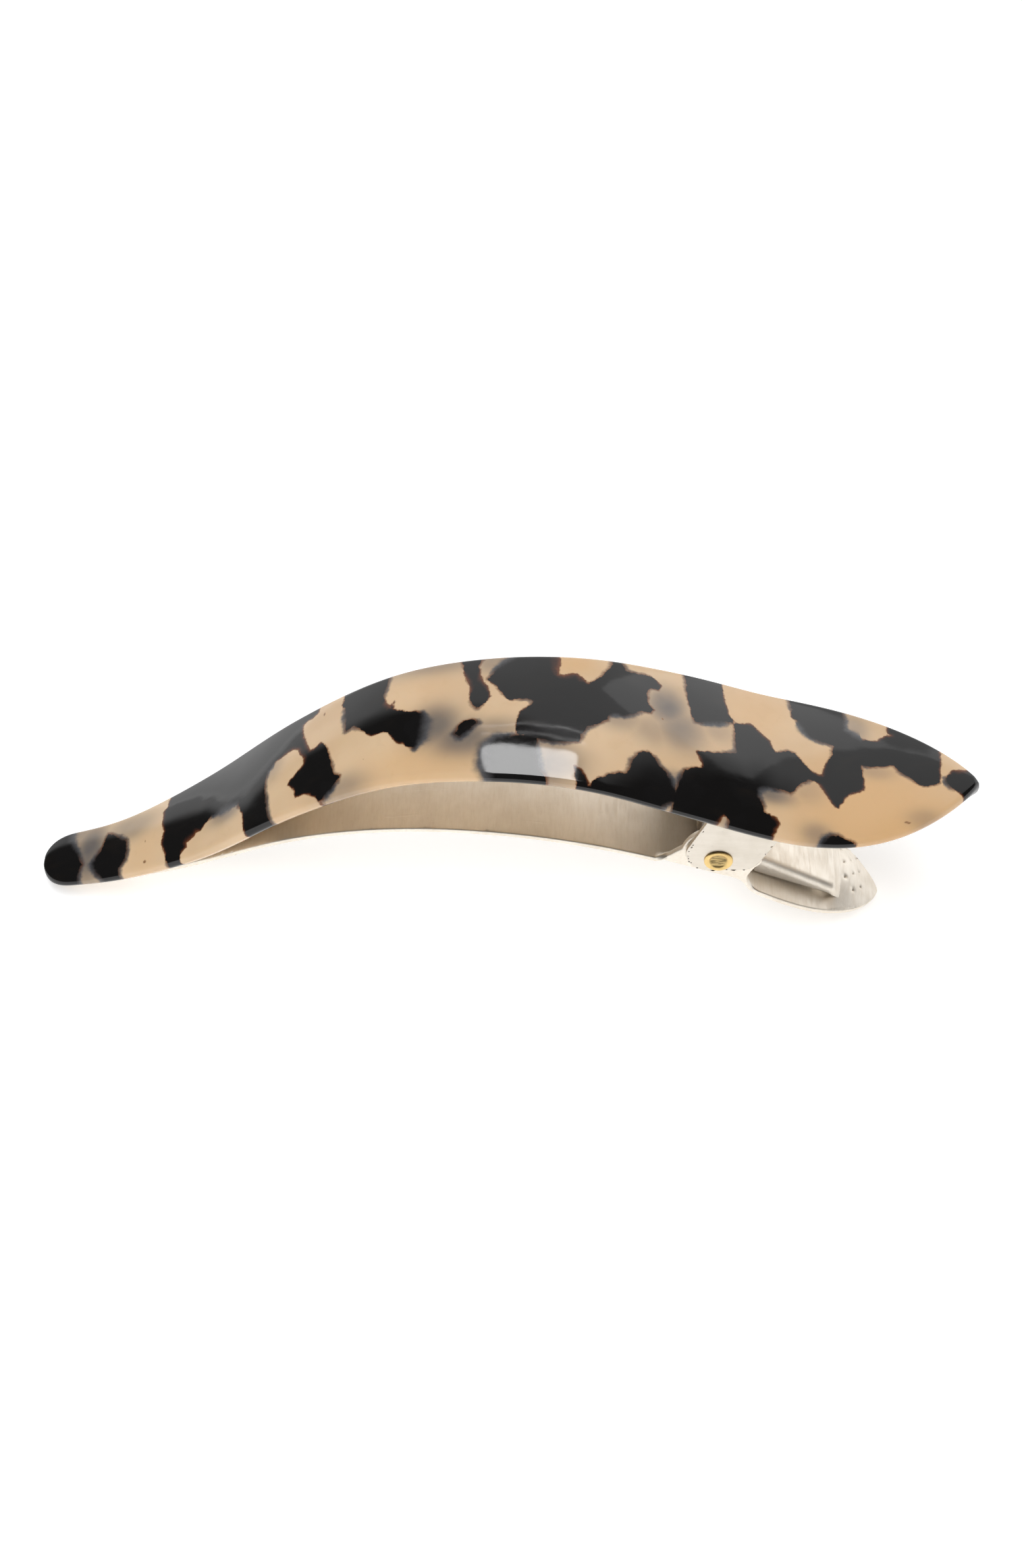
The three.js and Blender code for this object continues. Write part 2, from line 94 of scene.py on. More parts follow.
def through(points):
    """A curve y(x) through a few points, each slope taken from the two neighbours."""
    xs, ys = np.array(points, float).T
    order = np.arange(len(xs))
    before, after = np.maximum(order - 1, 0), np.minimum(order + 1, len(xs) - 1)
    slopes = (ys[after] - ys[before]) / (xs[after] - xs[before])

    def curve(x):
        i = np.clip(np.searchsorted(xs, x) - 1, 0, len(xs) - 2)
        step = xs[i + 1] - xs[i]
        t = (x - xs[i]) / step
        hold = ys[i] * (2 * t**3 - 3 * t**2 + 1) + ys[i + 1] * (3 * t**2 - 2 * t**3)
        return hold + step * (slopes[i] * (t**3 - 2 * t**2 + t) + slopes[i + 1] * (t**3 - t**2))

    return curve


def smoothed(points, spread):
    """The same curve with its changes of bend evened out over a length of about `spread`."""
    curve = through(points)
    first, last = points[0][0], points[-1][0]
    step = 0.05
    reach = 3 * spread
    xs = np.arange(first - reach, last + reach + step, step)
    inside = np.clip(xs, first, last)
    tiny = 0.01
    slope_first = (curve(first + tiny) - curve(first)) / tiny
    slope_last = (curve(last) - curve(last - tiny)) / tiny
    ys = curve(inside) + (xs - inside) * np.where(xs < first, slope_first, slope_last)
    kernel = np.exp(-0.5 * (np.arange(-reach, reach + step / 2, step) / spread) ** 2)
    kernel /= kernel.sum()
    middle = np.convolve(ys, kernel, mode="same")
    return lambda x: np.interp(x, xs, middle)


def smoothstep(x, low, high):
    t = np.clip((x - low) / (high - low), 0, 1)
    return t * t * (3 - 2 * t)


def linked(name, data):
    """A new object in the scene that holds the given data."""
    thing = bpy.data.objects.new(name, data)
    bpy.context.scene.collection.objects.link(thing)
    return thing


def plain_mesh(name, points, faces):
    """A flat-shaded mesh from points in metres."""
    mesh = bpy.data.meshes.new(name)
    mesh.from_pydata(points, [], faces)
    return linked(name, mesh)


def mesh_object(name, points, faces):
    """A smooth-shaded mesh from points in millimetres in the driving frame."""
    placed = (np.asarray(points, float) + [SHIFT_X, 0, 0]) * MM
    thing = plain_mesh(name, placed.tolist(), [list(map(int, face)) for face in faces])
    thing.data.shade_smooth()
    return thing


def add_values(thing, name, values):
    attribute = thing.data.attributes.new(name, "FLOAT", "POINT")
    attribute.data.foreach_set("value", np.asarray(values, np.float32))


def ring_faces(rings, around):
    """Faces between neighbouring rings, each of them closed and with the same number of points."""
    faces = []
    for i in range(rings - 1):
        a, b = i * around, (i + 1) * around
        for j in range(around):
            k = (j + 1) % around
            faces.append((a + j, b + j, b + k, a + k))
    return faces


def within(points, loops):
    """For each point, whether it lies inside the outline and outside its holes."""
    inside = np.zeros(len(points), bool)
    for loop in loops:
        for a, b in zip(loop, np.roll(loop, -1, axis=0)):
            if a[1] != b[1]:
                spans = (a[1] > points[:, 1]) != (b[1] > points[:, 1])
                at = a[0] + (points[:, 1] - a[1]) / (b[1] - a[1]) * (b[0] - a[0])
                inside ^= spans & (points[:, 0] < at)
    return inside


def nearest_on_loop(points, loop, values=None):
    """Distance to a closed loop, and its corner values carried to the nearest point."""
    best = np.full(len(points), 1e9)
    carried = np.zeros(len(points))
    values = np.zeros(len(loop)) if values is None else values
    for k, a in enumerate(loop):
        following = (k + 1) % len(loop)
        along = loop[following] - a
        share = np.clip((points - a) @ along / max(along @ along, 1e-12), 0, 1)
        away = np.linalg.norm(points - a - share[:, None] * along, axis=1)
        nearer = away < best
        best = np.where(nearer, away, best)
        here = values[k] + share * (values[following] - values[k])
        carried = np.where(nearer, here, carried)
    return best, carried


def divided(corners, step, closed=True):
    """The points of a line with every side of it cut into pieces no longer than step."""
    corners = np.array(corners, float)
    points = []
    for a, b in zip(corners, np.roll(corners, -1, axis=0) if closed else corners[1:]):
        pieces = max(1, math.ceil(math.hypot(*(b - a)) / step))
        points += [a + (b - a) * i / pieces for i in range(pieces)]
    return np.array(points if closed else points + [corners[-1]])


def arc(centre, radius, start, end, steps):
    """Points on an arc, its angles in degrees."""
    turns = np.radians(np.linspace(start, end, steps))
    return [(centre[0] + radius * math.cos(a), centre[1] + radius * math.sin(a)) for a in turns]


def circle(centre, radius, steps):
    return arc(centre, radius, 0, 360 - 360 / steps, steps)


def rounded_side(start, end, half_width, corner, steps):
    """The upper half of a rectangle's outline, with both of its corners rounded."""
    level = half_width - corner
    first = arc((start + corner, level), corner, 180, 90, steps)
    return first + arc((end - corner, level), corner, 90, 0, steps)


def mirrored(side):
    """A whole outline from its upper half; a point on the middle line isn't repeated."""
    return side + [(s, -t) for s, t in reversed(side) if t > 1e-6]


# Shares of the step that the grid keeps clear of the outlines and of the extra points.
CLEAR_OF_RIM, CLEAR_OF_EXTRA = 0.75, 0.3
# Points closer than this are one point, and triangles smaller than this are dropped.
TINY = 1e-7


def blank(loops, step, extra):
    """Points and triangles that fill a flat outline with holes, with extra points where asked."""
    loops = [divided(loop, step) for loop in loops]
    corners = np.concatenate(loops)
    edges, start = [], 0
    for loop in loops:
        edges += [(start + i, start + (i + 1) % len(loop)) for i in range(len(loop))]
        start += len(loop)
    low, high = corners.min(0), corners.max(0)
    grid = []
    for row, y in enumerate(np.arange(low[1] + step / 2, high[1], step * math.sqrt(3) / 2)):
        xs = np.arange(low[0] + (row % 2) * step / 2, high[0], step)
        grid.append(np.stack([xs, np.full(len(xs), y)], 1))
    grid = np.concatenate(grid)
    keep = within(grid, loops)
    for loop in loops:
        keep &= nearest_on_loop(grid, loop)[0] > CLEAR_OF_RIM * step
    for x, y in extra:
        keep &= np.hypot(grid[:, 0] - x, grid[:, 1] - y) > CLEAR_OF_EXTRA * step
    points = np.concatenate([corners, grid[keep], np.reshape(extra, (-1, 2))])
    result = delaunay_2d_cdt([Vector(p) for p in points], edges, [], 0, TINY)
    points = np.array([tuple(p) for p in result[0]])
    triangles = np.array([face for face in result[2] if len(face) == 3])
    triangles = triangles[within(points[triangles].mean(1), loops)]
    a, b, c = points[triangles].transpose(1, 0, 2)
    area = (b[:, 0] - a[:, 0]) * (c[:, 1] - a[:, 1]) - (b[:, 1] - a[:, 1]) * (c[:, 0] - a[:, 0])
    real = np.abs(area) > TINY
    triangles, area = triangles[real], area[real]
    triangles[area < 0] = triangles[area < 0][:, ::-1]
    used = np.unique(triangles)
    renumber = np.full(len(points), -1)
    renumber[used] = np.arange(len(used))
    return points[used], renumber[triangles]


def rim_of(triangles):
    """The rim's directed edges, with the sheet on their left."""
    edges = np.concatenate([triangles[:, [0, 1]], triangles[:, [1, 2]], triangles[:, [2, 0]]])
    pairs = {(int(a), int(b)) for a, b in edges}
    return [pair for pair in pairs if (pair[1], pair[0]) not in pairs]


RIM_STEPS = 4


def sheet_metal(name, loops, bend, thickness, edge_radius, step, extra=()):
    """A folded sheet: a flat blank bent by bend(s, t), thickened, with its stamped edges rounded."""
    flat, triangles = blank(loops, step, extra)
    s, t = flat.T
    tiny = 1e-3
    middle = bend(s, t)
    along = bend(s + tiny, t) - bend(s - tiny, t)
    across = bend(s, t + tiny) - bend(s, t - tiny)
    normal = np.cross(along, across)
    normal /= np.linalg.norm(normal, axis=1, keepdims=True)
    half = thickness / 2

    edges = sorted(rim_of(triangles))
    after = dict(edges)
    before = {b: a for a, b in edges}
    ring = sorted(after)
    place = {v: k for k, v in enumerate(ring)}
    ahead = np.array([after[v] for v in ring])
    behind = np.array([before[v] for v in ring])
    tangent = middle[ahead] - middle[behind]
    outward = np.cross(tangent, normal[ring])
    outward /= np.linalg.norm(outward, axis=1, keepdims=True) + 1e-12

    quarter = np.radians(np.linspace(90, 0, RIM_STEPS + 1))
    levels = []
    for side, turns in ((1, quarter), (-1, quarter[::-1])):
        for turn in turns:
            rise = half - edge_radius * (1 - math.sin(turn))
            inset = edge_radius * (math.cos(turn) - 1)
            levels.append(middle[ring] + outward * inset + normal[ring] * side * rise)
    top = middle + normal * half
    bottom = middle - normal * half
    top[ring] = levels[0]
    bottom[ring] = levels[-1]

    count = len(middle)
    rows = [np.array(ring)]
    points = [top, bottom]
    start = 2 * count
    for level in levels[1:-1]:
        points.append(level)
        rows.append(start + np.arange(len(ring)))
        start += len(ring)
    rows.append(count + np.array(ring))
    faces = [tuple(f) for f in triangles]
    faces += [tuple(f[::-1] + count) for f in triangles]
    for a, b in edges:
        i, j = place[a], place[b]
        faces += [(upper[i], lower[i], lower[j], upper[j]) for upper, lower in zip(rows, rows[1:])]
    return mesh_object(name, np.concatenate(points), faces)


def in_hinge(u, y, n):
    """Points of the hinge frame: u along the bracket's base, n away from the pin towards the cover."""
    x = PIN_X + u * math.cos(HINGE_PITCH) + n * math.sin(HINGE_PITCH)
    z = PIN_Z - u * math.sin(HINGE_PITCH) + n * math.cos(HINGE_PITCH)
    return np.stack(np.broadcast_arrays(x, y, z), -1)


def in_thumb(back, y, n):
    """Points of the thumb plate's frame: back from its tip, n out of its upper face."""
    x = THUMB_TIP_X + back * math.cos(THUMB_PITCH) + n * math.sin(THUMB_PITCH)
    z = THUMB_TIP_Z - back * math.sin(THUMB_PITCH) + n * math.cos(THUMB_PITCH)
    return np.stack(np.broadcast_arrays(x, y, z), -1)


def lathe(profile, segments):
    """Points and faces of a turned piece: profile points are (radius, distance along the axis)."""
    turns = np.linspace(0, 2 * math.pi, segments, endpoint=False)
    rings = [np.stack([r * np.cos(turns), r * np.sin(turns), np.full(segments, y)], 1)
             for r, y in profile]
    return np.concatenate(rings), ring_faces(len(profile), segments)


def rounded_profile(points, steps):
    """Points along a smooth curve through the profile's corners."""
    corners = np.array(points, float)
    lengths = np.linalg.norm(np.diff(corners, axis=0), axis=1)
    place = np.concatenate([[0], np.cumsum(lengths)])
    fine = np.linspace(0, place[-1], steps)
    radius = through(list(zip(place, corners[:, 0])))(fine)
    height = through(list(zip(place, corners[:, 1])))(fine)
    return list(zip(np.maximum(radius, 1e-3), height))


# ---- acetate cover

COVER_HEIGHTS = [
    (TAIL_X, 1.1), (-50, 4.45), (-38, 11.9), (-26, 22), (-14, 29.4), (-2, 32.15),
    (10, 31.8), (22, 28.4), (34, 24.2), (46, 22.1), (HEAD_X, 22.15),
]
COVER_WIDTHS = [
    (TAIL_X, 3.95), (-50, 4.95), (-38, 6.7), (-26, 7.95), (-8, 9.45), (10, 10.6),
    (22, 11.4), (COVER_WIDEST_X, COVER_WIDEST), (HEAD_X, COVER_WIDEST),
]
cover_height = smoothed(COVER_HEIGHTS, 1.6)
cover_body_width = smoothed(COVER_WIDTHS, 1.2)


def cover_half_width(x):
    into_tail = np.clip((TAIL_X + TAIL_ROUNDING - x) / TAIL_ROUNDING, 0, 1)
    into_head = np.clip((x - COVER_WIDEST_X) / (HEAD_X - COVER_WIDEST_X), 0, 1)
    tail = (1 - into_tail**TAIL_SQUARENESS) ** (1 / TAIL_SQUARENESS)
    head = (1 - into_head**HEAD_FULLNESS) ** HEAD_BLUNTNESS
    return np.maximum(cover_body_width(x) * tail * head, 1e-3)


# Dark patches of the acetate, as outlines: millimetres along the clip, share of the half width
# across it (-1 near edge, 1 far edge), and the kind of edge there: above 0 a soft edge that many
# millimetres wide, below 0 a sharp one with a red-brown rim that wide.
PATCHES = [
    # tail tip
    [(-61.5, 1.1, .5), (-57.8, 1.1, 1.6), (-57.6, .5, 1.4), (-56.6, .2, 1), (-55.6, -.15, .8),
     (-55, -.45, .6), (-55.5, -.85, .8), (-55.8, -1.15, .8), (-61.5, -1.15, .5)],
    # band behind the tail
    [(-51.8, .52, .4), (-51, .42, .5), (-49.6, .12, .8), (-48.7, 0, .6), (-48.4, -.3, .7),
     (-48.7, -.55, .7), (-49.5, -.78, .7), (-49.9, -1.15, .7), (-51.2, -1.15, .8),
     (-52.7, -.8, .8), (-53.4, -.5, .9), (-52.8, -.2, .7), (-52.2, .1, .4)],
    # large patch on the rising front, with two legs and a neck to the patch behind it
    [(-43.2, 1.1, -.2), (-22.9, 1.1, -.3), (-22.9, .8, -.3), (-23.8, .74, -.4), (-24.7, .7, -.3),
     (-24.4, .5, -.4), (-24.1, .35, -.4), (-23.5, .15, -.6), (-23.1, .03, -.5), (-22.6, .02, -.3),
     (-21.8, .08, -.3), (-21.1, 0, .2), (-20.6, -.2, .3), (-20.2, -.45, .5), (-19.8, -.62, .4),
     (-19.1, -.68, .3), (-19.6, -.76, .6), (-20.4, -.86, 1), (-21.2, -.92, .8), (-21.8, -1, .3),
     (-22.3, -.9, -.2), (-22.9, -.82, -.2), (-23.7, -.75, -.2), (-24.9, -.77, -.3),
     (-25, -.62, -.2), (-25.8, -.47, -.3), (-25.4, -.39, -.2), (-24.6, -.3, -.2),
     (-23.8, -.22, -.4), (-23.9, -.1, -.6), (-24.3, .04, -.6), (-24.7, .16, -.5),
     (-25.4, .23, -.6), (-26.1, .2, -.7), (-27.2, .15, -.5), (-27.9, .14, .8), (-28.8, .06, .9),
     (-28.9, -.2, .5), (-28.7, -.6, .7), (-28.4, -.9, .7), (-28.1, -1.15, .6),
     (-31.6, -1.15, -.3), (-31.7, -.75, -.3), (-31.9, -.56, -.2), (-32.3, -.4, .5),
     (-32.3, -.25, 1), (-33.5, -.2, 1.6), (-35, -.2, 1.5), (-36.2, -.27, .8),
     (-37.2, -.4, -.3), (-37.6, -.48, -.2), (-38.4, -.49, -.8), (-38.7, -.57, -1),
     (-39.6, -.65, -.9), (-39.7, -.76, -.4), (-40.4, -.8, -.4), (-40.8, -.97, .2),
     (-40.8, -1.15, .3), (-42.8, -1.15, .4), (-42.5, -.95, .5), (-42.7, -.8, -.2),
     (-43.1, -.6, -.3), (-43.4, -.4, -.4), (-43.2, -.1, -.4), (-43.6, .15, -.5),
     (-43.8, .5, -.6), (-43.3, .6, -.3)],
    # slanted patch before the crest
    [(-19.6, 1.1, .4), (-19.8, .73, -.4), (-19.2, .6, .6), (-18.9, .4, .8), (-18.7, .25, .6),
     (-18.6, .11, .6), (-17.6, .15, .6), (-17, .05, .5), (-16.3, -.03, .2), (-15.8, -.12, -.3),
     (-15.4, -.16, -.2), (-14.8, -.17, -.3), (-14.2, -.15, .2), (-13.6, -.17, .2),
     (-13.2, -.25, -.2), (-12.8, -.33, -.2), (-12.3, -.38, -.2), (-11.5, -.42, -.2),
     (-10.9, -.48, .2), (-10.3, -.5, .8), (-9.9, -.38, 1.6), (-9.6, -.1, 1.6), (-9.6, .05, .8),
     (-10.2, .09, .3), (-11.5, .12, .1), (-12.7, .19, -.2), (-13.1, .25, -.3), (-13, .38, -.3),
     (-13.4, .3, -.9), (-14, .42, -.6), (-14.3, .5, .4), (-14.5, .65, .7), (-14.3, .8, .6),
     (-14.2, 1.1, .6)],
    # narrow reddish patch
    [(-5.6, 1.1, .5), (-5.1, .82, .3), (-4.9, .65, -.6), (-4.5, .5, -.7), (-4.1, .4, -.6),
     (-4, .2, .2), (-3.8, .12, .4), (-3.1, .03, .5), (-2.4, .1, .3), (-1.7, .2, -.2),
     (-1.7, .3, -.3), (-2.1, .42, -.5), (-2.6, .55, -.7), (-2.8, .65, -.6), (-3.3, .82, .3),
     (-2.6, 1.1, .6)],
    # small crescent
    [(-5.5, -.36, .7), (-5.1, -.24, .4), (-4.5, -.17, .25), (-3.5, -.15, .3), (-3, -.19, .7),
     (-3.9, -.27, .8), (-4.6, -.36, .9), (-5, -.42, .8)],
    # soft cloud at the near edge of the crest
    [(-1.4, -.6, 1.8), (-.4, -.47, 1.4), (1.2, -.42, .7), (3, -.38, .4), (4.2, -.42, .5),
     (3.8, -.6, .9), (4.2, -.85, .9), (5.6, -1, .3), (5, -1.15, .3), (-.2, -1.15, .9),
     (-1.5, -.85, 1.8)],
    # large patch over the crest
    [(-2.2, .52, .3), (-1, .7, .8), (0, .82, 1.2), (1.2, .9, 1.2), (1.6, 1.1, .8),
     (6.2, 1.1, -.9), (6.6, .85, -1.3), (6.4, .7, -1.1), (6.4, .62, -.6), (7, .62, -.9),
     (8, .66, -.8), (8.7, .66, -.8), (9.3, .57, -.8), (9.9, .5, -.3), (10.6, .55, .2),
     (11.5, .65, .3), (12.2, .78, .4), (12.8, .9, .4), (13.1, 1.1, .3), (13.7, 1.1, .5),
     (14.5, .82, .6), (16, .79, .5), (17.5, .79, .3), (18.4, .72, -.3), (18.8, .66, -.4),
     (18.4, .6, .3), (17.4, .6, .5), (17, .55, .4), (16.9, .35, .3), (17.2, .28, .3),
     (17.7, .24, .2), (17.2, .21, .4), (16.2, .2, .5), (15.2, .12, .7), (14, .08, .8),
     (13, .08, 1), (12.2, .03, .7), (12.1, -.05, .4), (11, -.12, .5), (10, -.2, .7),
     (9.2, -.3, .6), (9, -.42, .4), (6, -.46, .8), (3, -.42, .6), (1.6, -.35, .2),
     (1.8, -.1, -.1), (2.1, -.03, -.2), (2.5, .03, -.3), (3.2, .08, .5), (3.4, .15, .6),
     (2.6, .18, .6), (1.3, .18, .4), (1, .14, .2), (.5, .18, .2), (-.2, .28, .3),
     (-.9, .42, .3), (-1.6, .48, -.3)],
    # near edge behind the crest
    [(8.6, -.78, -.3), (9.5, -.8, -.3), (10, -.87, -.3), (10.4, -.96, -.2), (11.4, -.88, .2),
     (12.6, -.79, .3), (13.8, -.74, .4), (14.7, -.72, .4), (15.1, -.55, .6), (15.8, -.42, .4),
     (16.6, -.37, .25), (17.3, -.37, .25), (17.8, -.42, .5), (18.2, -.52, .7),
     (19.2, -.58, .6), (19.9, -.68, .9), (20.6, -.78, .8), (21, -.85, .4), (20.8, -.93, .6),
     (20, -.93, .8), (19.2, -.98, .8), (18.5, -1.15, .6), (9.2, -1.15, .2), (9, -1, .2)],
    # patch above the hinge, towards the far edge
    [(22, 1.1, .5), (22, .75, .5), (22.1, .5, .25), (22.5, .3, .2), (22.9, .22, .5),
     (24.2, .26, .9), (26, .32, 1), (27.7, .37, .3), (27.2, .46, -.2), (27, .6, -.4),
     (26.8, .78, -.2), (26.5, 1.1, .2)],
    # the great patch that runs from the near edge at the hinge to the far edge of the head
    [(27.8, .35, .2), (28.6, .36, -.2), (29.3, .39, -.3), (29.9, .4, -.4), (30.5, .38, -.4),
     (31.3, .3, -.5), (31.8, .26, -.5), (32.5, .23, -.4), (32.8, .15, -.3), (33.2, .08, .2),
     (33.9, .1, .4), (34.8, .13, .4), (35.6, .11, .3), (36.2, .05, .2), (37, -.03, .2),
     (38, -.1, -.2), (38.6, -.14, -.3), (39.2, -.13, -.4), (39.4, -.03, -.3), (39.7, .05, -.3),
     (40.3, .13, .3), (40.7, .25, .4), (40.9, .33, .5), (40, .36, .7), (38.9, .38, .7),
     (38, .42, .9), (37.3, .52, 1.2), (36.6, .62, .9), (35.6, .66, -.4), (35.5, .7, -.4),
     (36, .78, .7), (35.7, .9, .6), (35.6, 1.1, .5), (42.6, 1.1, .5), (42.6, .8, .8),
     (42.4, .62, 1), (43.4, .55, 1.5), (44.6, .5, 1.2), (45.2, .54, .3), (46.2, .55, -.2),
     (46.8, .57, -.3), (47.3, .65, -.4), (48.1, .73, -.4), (48.9, .78, -.5), (48.4, .8, -.4),
     (48.4, 1.1, -.3), (54.9, 1.1, -.2), (54.9, .6, -.3), (54.8, .2, -.3), (54.7, -.05, -.2),
     (54.6, -.18, .3), (53.8, -.22, .3), (52.6, -.22, .3), (51.8, -.16, .3), (51, -.06, .5),
     (50, .02, .6), (49.3, .08, .5), (49, .16, .3), (48.4, .16, .4), (47, .12, .4),
     (45.8, .09, .4), (44.9, .1, .7), (44.3, .12, .5), (44.5, 0, .3), (44.7, -.15, -.3),
     (44.7, -.3, -.4), (43.8, -.32, -.3), (42.8, -.34, -.2), (42.1, -.4, -.2),
     (41.7, -.47, -.2), (41.1, -.54, -.2), (40.5, -.5, -.3), (39.9, -.44, -.4),
     (39.2, -.34, -.5), (38.6, -.26, -.4), (38.1, -.22, .3), (37.4, -.23, .6), (36.5, -.28, .5),
     (35.8, -.36, .4), (35.3, -.43, .4), (34.9, -.45, .4), (34, -.42, .5), (33, -.41, .8),
     (31.6, -.42, .9), (30.6, -.48, 1), (30.6, -.56, .8), (31.4, -.66, .6), (31.5, -.76, .2),
     (32.3, -.77, -.2), (33.2, -.8, -.4), (33.6, -.85, -.4), (33.2, -.93, -.4),
     (32.7, -1.15, -.2), (27.8, -1.15, .3), (27.3, -.97, .6), (26.6, -.9, -.2),
     (26.2, -.97, -.5), (25.4, -1.15, -.4), (20.6, -1.15, .8), (20.4, -.9, .5), (20.6, -.76, .6),
     (21.2, -.6, .8), (21.6, -.5, .5), (22.4, -.44, .3), (23.8, -.39, -.2), (23.3, -.31, -.4),
     (22.8, -.2, -.4), (23.8, -.18, .2), (25, -.15, .3), (26.5, -.12, .5), (27.9, -.08, .7),
     (27.9, .1, .5)],
    # head tip
    [(57.8, .6, -.7), (57.1, .47, -.9), (56.4, .36, -.7), (56, .25, -.4), (55.8, .15, -.3),
     (55.5, .05, .3), (55.3, -.02, .7), (55.5, -.2, .8), (55.8, -.35, .6), (56.3, -.5, .3),
     (56.8, -.66, -.4), (57, -.8, -.4), (57.3, -.92, -.3), (57.5, -1.15, .3),
     (61, -1.15, .3), (61, 1.15, .3), (58.2, .8, -.6)],
    # shadow at the near edge of the head
    [(38.8, -1.15, 1), (39.5, -.97, .9), (40.3, -.91, .7), (41.2, -.9, .5), (42, -.95, .4),
     (43.4, -1, .3), (43.8, -1.15, .3)],
]

# Grey-blue clouds: place along, share across, reach along, reach across, strength.
CLOUDS = [
    (-53.9, -.05, 2.1, 4, .95), (-56, .7, 2.5, 1.5, .6), (-48.6, .45, 3.2, 1.8, .6),
    (-34.2, -.36, 2.4, 1.2, .7), (-28.2, .08, 1.5, 2, .4), (-18.9, -.9, 2.6, 1.5, .55),
    (-7.9, -.2, 2.4, 2.6, .85), (-4.6, -.42, 3.2, 2.2, .85), (-1, -.3, 2.8, 1.4, .55),
    (-9, 1, 5, 1.8, .6), (-1.6, .9, 1.8, 2, .55), (5.6, -.75, 3.2, 2.6, .8),
    (19.4, .36, 2, 2.6, .9), (21, .05, 2.4, 2.6, .7), (17.5, -.05, 2.2, 2, .4),
    (13.2, .03, 2.6, 1.6, .55), (20.4, -.63, 1.1, .9, .6), (32.4, -.5, 2.4, 1.1, .8),
    (25.6, .18, 1.8, 1.6, .35), (43.8, .7, 1.6, 2.2, .55), (37.2, -.35, 2, 1.6, .3),
    (46.2, .02, 2, 1, .35), (52.6, -.95, 2, 1.2, .35), (38.4, -.9, 1.5, 1.2, .5),
    (28, -.95, 1.6, 2, .6),
]

# Warmer, more orange stretches of the pale ground, written in the same way.
WARMTH = [
    (46, -.55, 9, 6, .9), (31, .65, 4, 4, .55), (8, .85, 2.5, 2, .7), (-9, -.75, 6, 2.5, .6),
    (-46, -.5, 2.5, 3, .35), (52, .2, 3, 3, .3), (-11, .5, 4, 3, .3),
]

# Small brown flecks, written in the same way.
FLECKS = [
    (50.1, -.86, .55, .2, 1), (18.8, .14, .2, .14, 1), (13.8, -.3, .2, .1, 1),
    (-16.2, -.52, .22, .12, 1), (-45.8, -.2, .1, .35, 1), (-22, .7, .2, .45, 1),
    (-45.7, -.78, .3, .3, 1), (44, -.78, .12, .1, 1),
]

SHARPEST_EDGE, PATCH_REACH = 0.16, 6
CLOUD_FALL, CLOUD_POWER = 0.42, 1.35
COVER_STATIONS, COVER_EDGE_STEPS, COVER_FLAT_STEPS = 620, 9, 52
STATION_EASE = 0.38


def cover_section(width):
    """Columns of points round the cover, each one its place across and its level at every station.

    The edge is rounded above and eased away below. The columns above come first, and are counted.
    """
    radius = COVER_THICKNESS / 2
    half = radius * np.sqrt(1 - (1 - np.minimum(1, width / radius)) ** 2)
    rim_height = np.minimum(COVER_EDGE_DROP, half)
    above = np.minimum(COVER_EDGE_REACH, width)
    below = np.minimum(COVER_UNDER_REACH, COVER_UNDER_LIMIT * width)
    turns = [math.pi / 2 * i / COVER_EDGE_STEPS for i in range(COVER_EDGE_STEPS + 1)]
    flats = [1 - 2 * i / COVER_FLAT_STEPS for i in range(1, COVER_FLAT_STEPS)]
    power = 2 / COVER_UNDER_POWER
    over = [(width - above * (1 - math.cos(turn)), half - rim_height * (1 - math.sin(turn)))
            for turn in turns]
    under = [(width - below * (1 - max(math.cos(turn), 0) ** power),
              half - rim_height - (2 * half - rim_height) * math.sin(turn) ** power)
             for turn in turns[1:]]
    columns = over + [((width - above) * flat, half) for flat in flats]
    columns += [(-y, level) for y, level in reversed(over)]
    top_count = len(columns)
    columns += [(-y, level) for y, level in under]
    columns += [((below - width) * flat, -half) for flat in flats]
    return columns + under[::-1], top_count


def patch_values(on_sheet, laid):
    """For each point: its distance to the nearest patch, that edge's softness, and its rim's width."""
    best = np.full(len(on_sheet), 1e9)
    found = np.zeros((3, len(on_sheet)))
    for patch in PATCHES:
        x, across, kind = np.array(patch, float).T
        outline = laid(x, across)
        away, edge_kind = nearest_on_loop(on_sheet, outline, kind)
        away = np.where(within(on_sheet, [outline]), -away, away)
        soft = np.maximum(edge_kind, SHARPEST_EDGE)
        nearer = away / soft < best
        best = np.where(nearer, away / soft, best)
        found = np.where(nearer, [away, soft, np.maximum(-edge_kind, 0)], found)
    return found


def spot_values(on_sheet, laid, spots, fall, power):
    """How strongly soft oval spots show at each point of the sheet."""
    total = np.zeros(len(on_sheet))
    for x, across, reach_along, reach_across, strength in spots:
        away = (on_sheet - laid(x, across)) / [reach_along, reach_across]
        total = np.maximum(total, strength * np.exp(-fall * (away**2).sum(1) ** power))
    return total


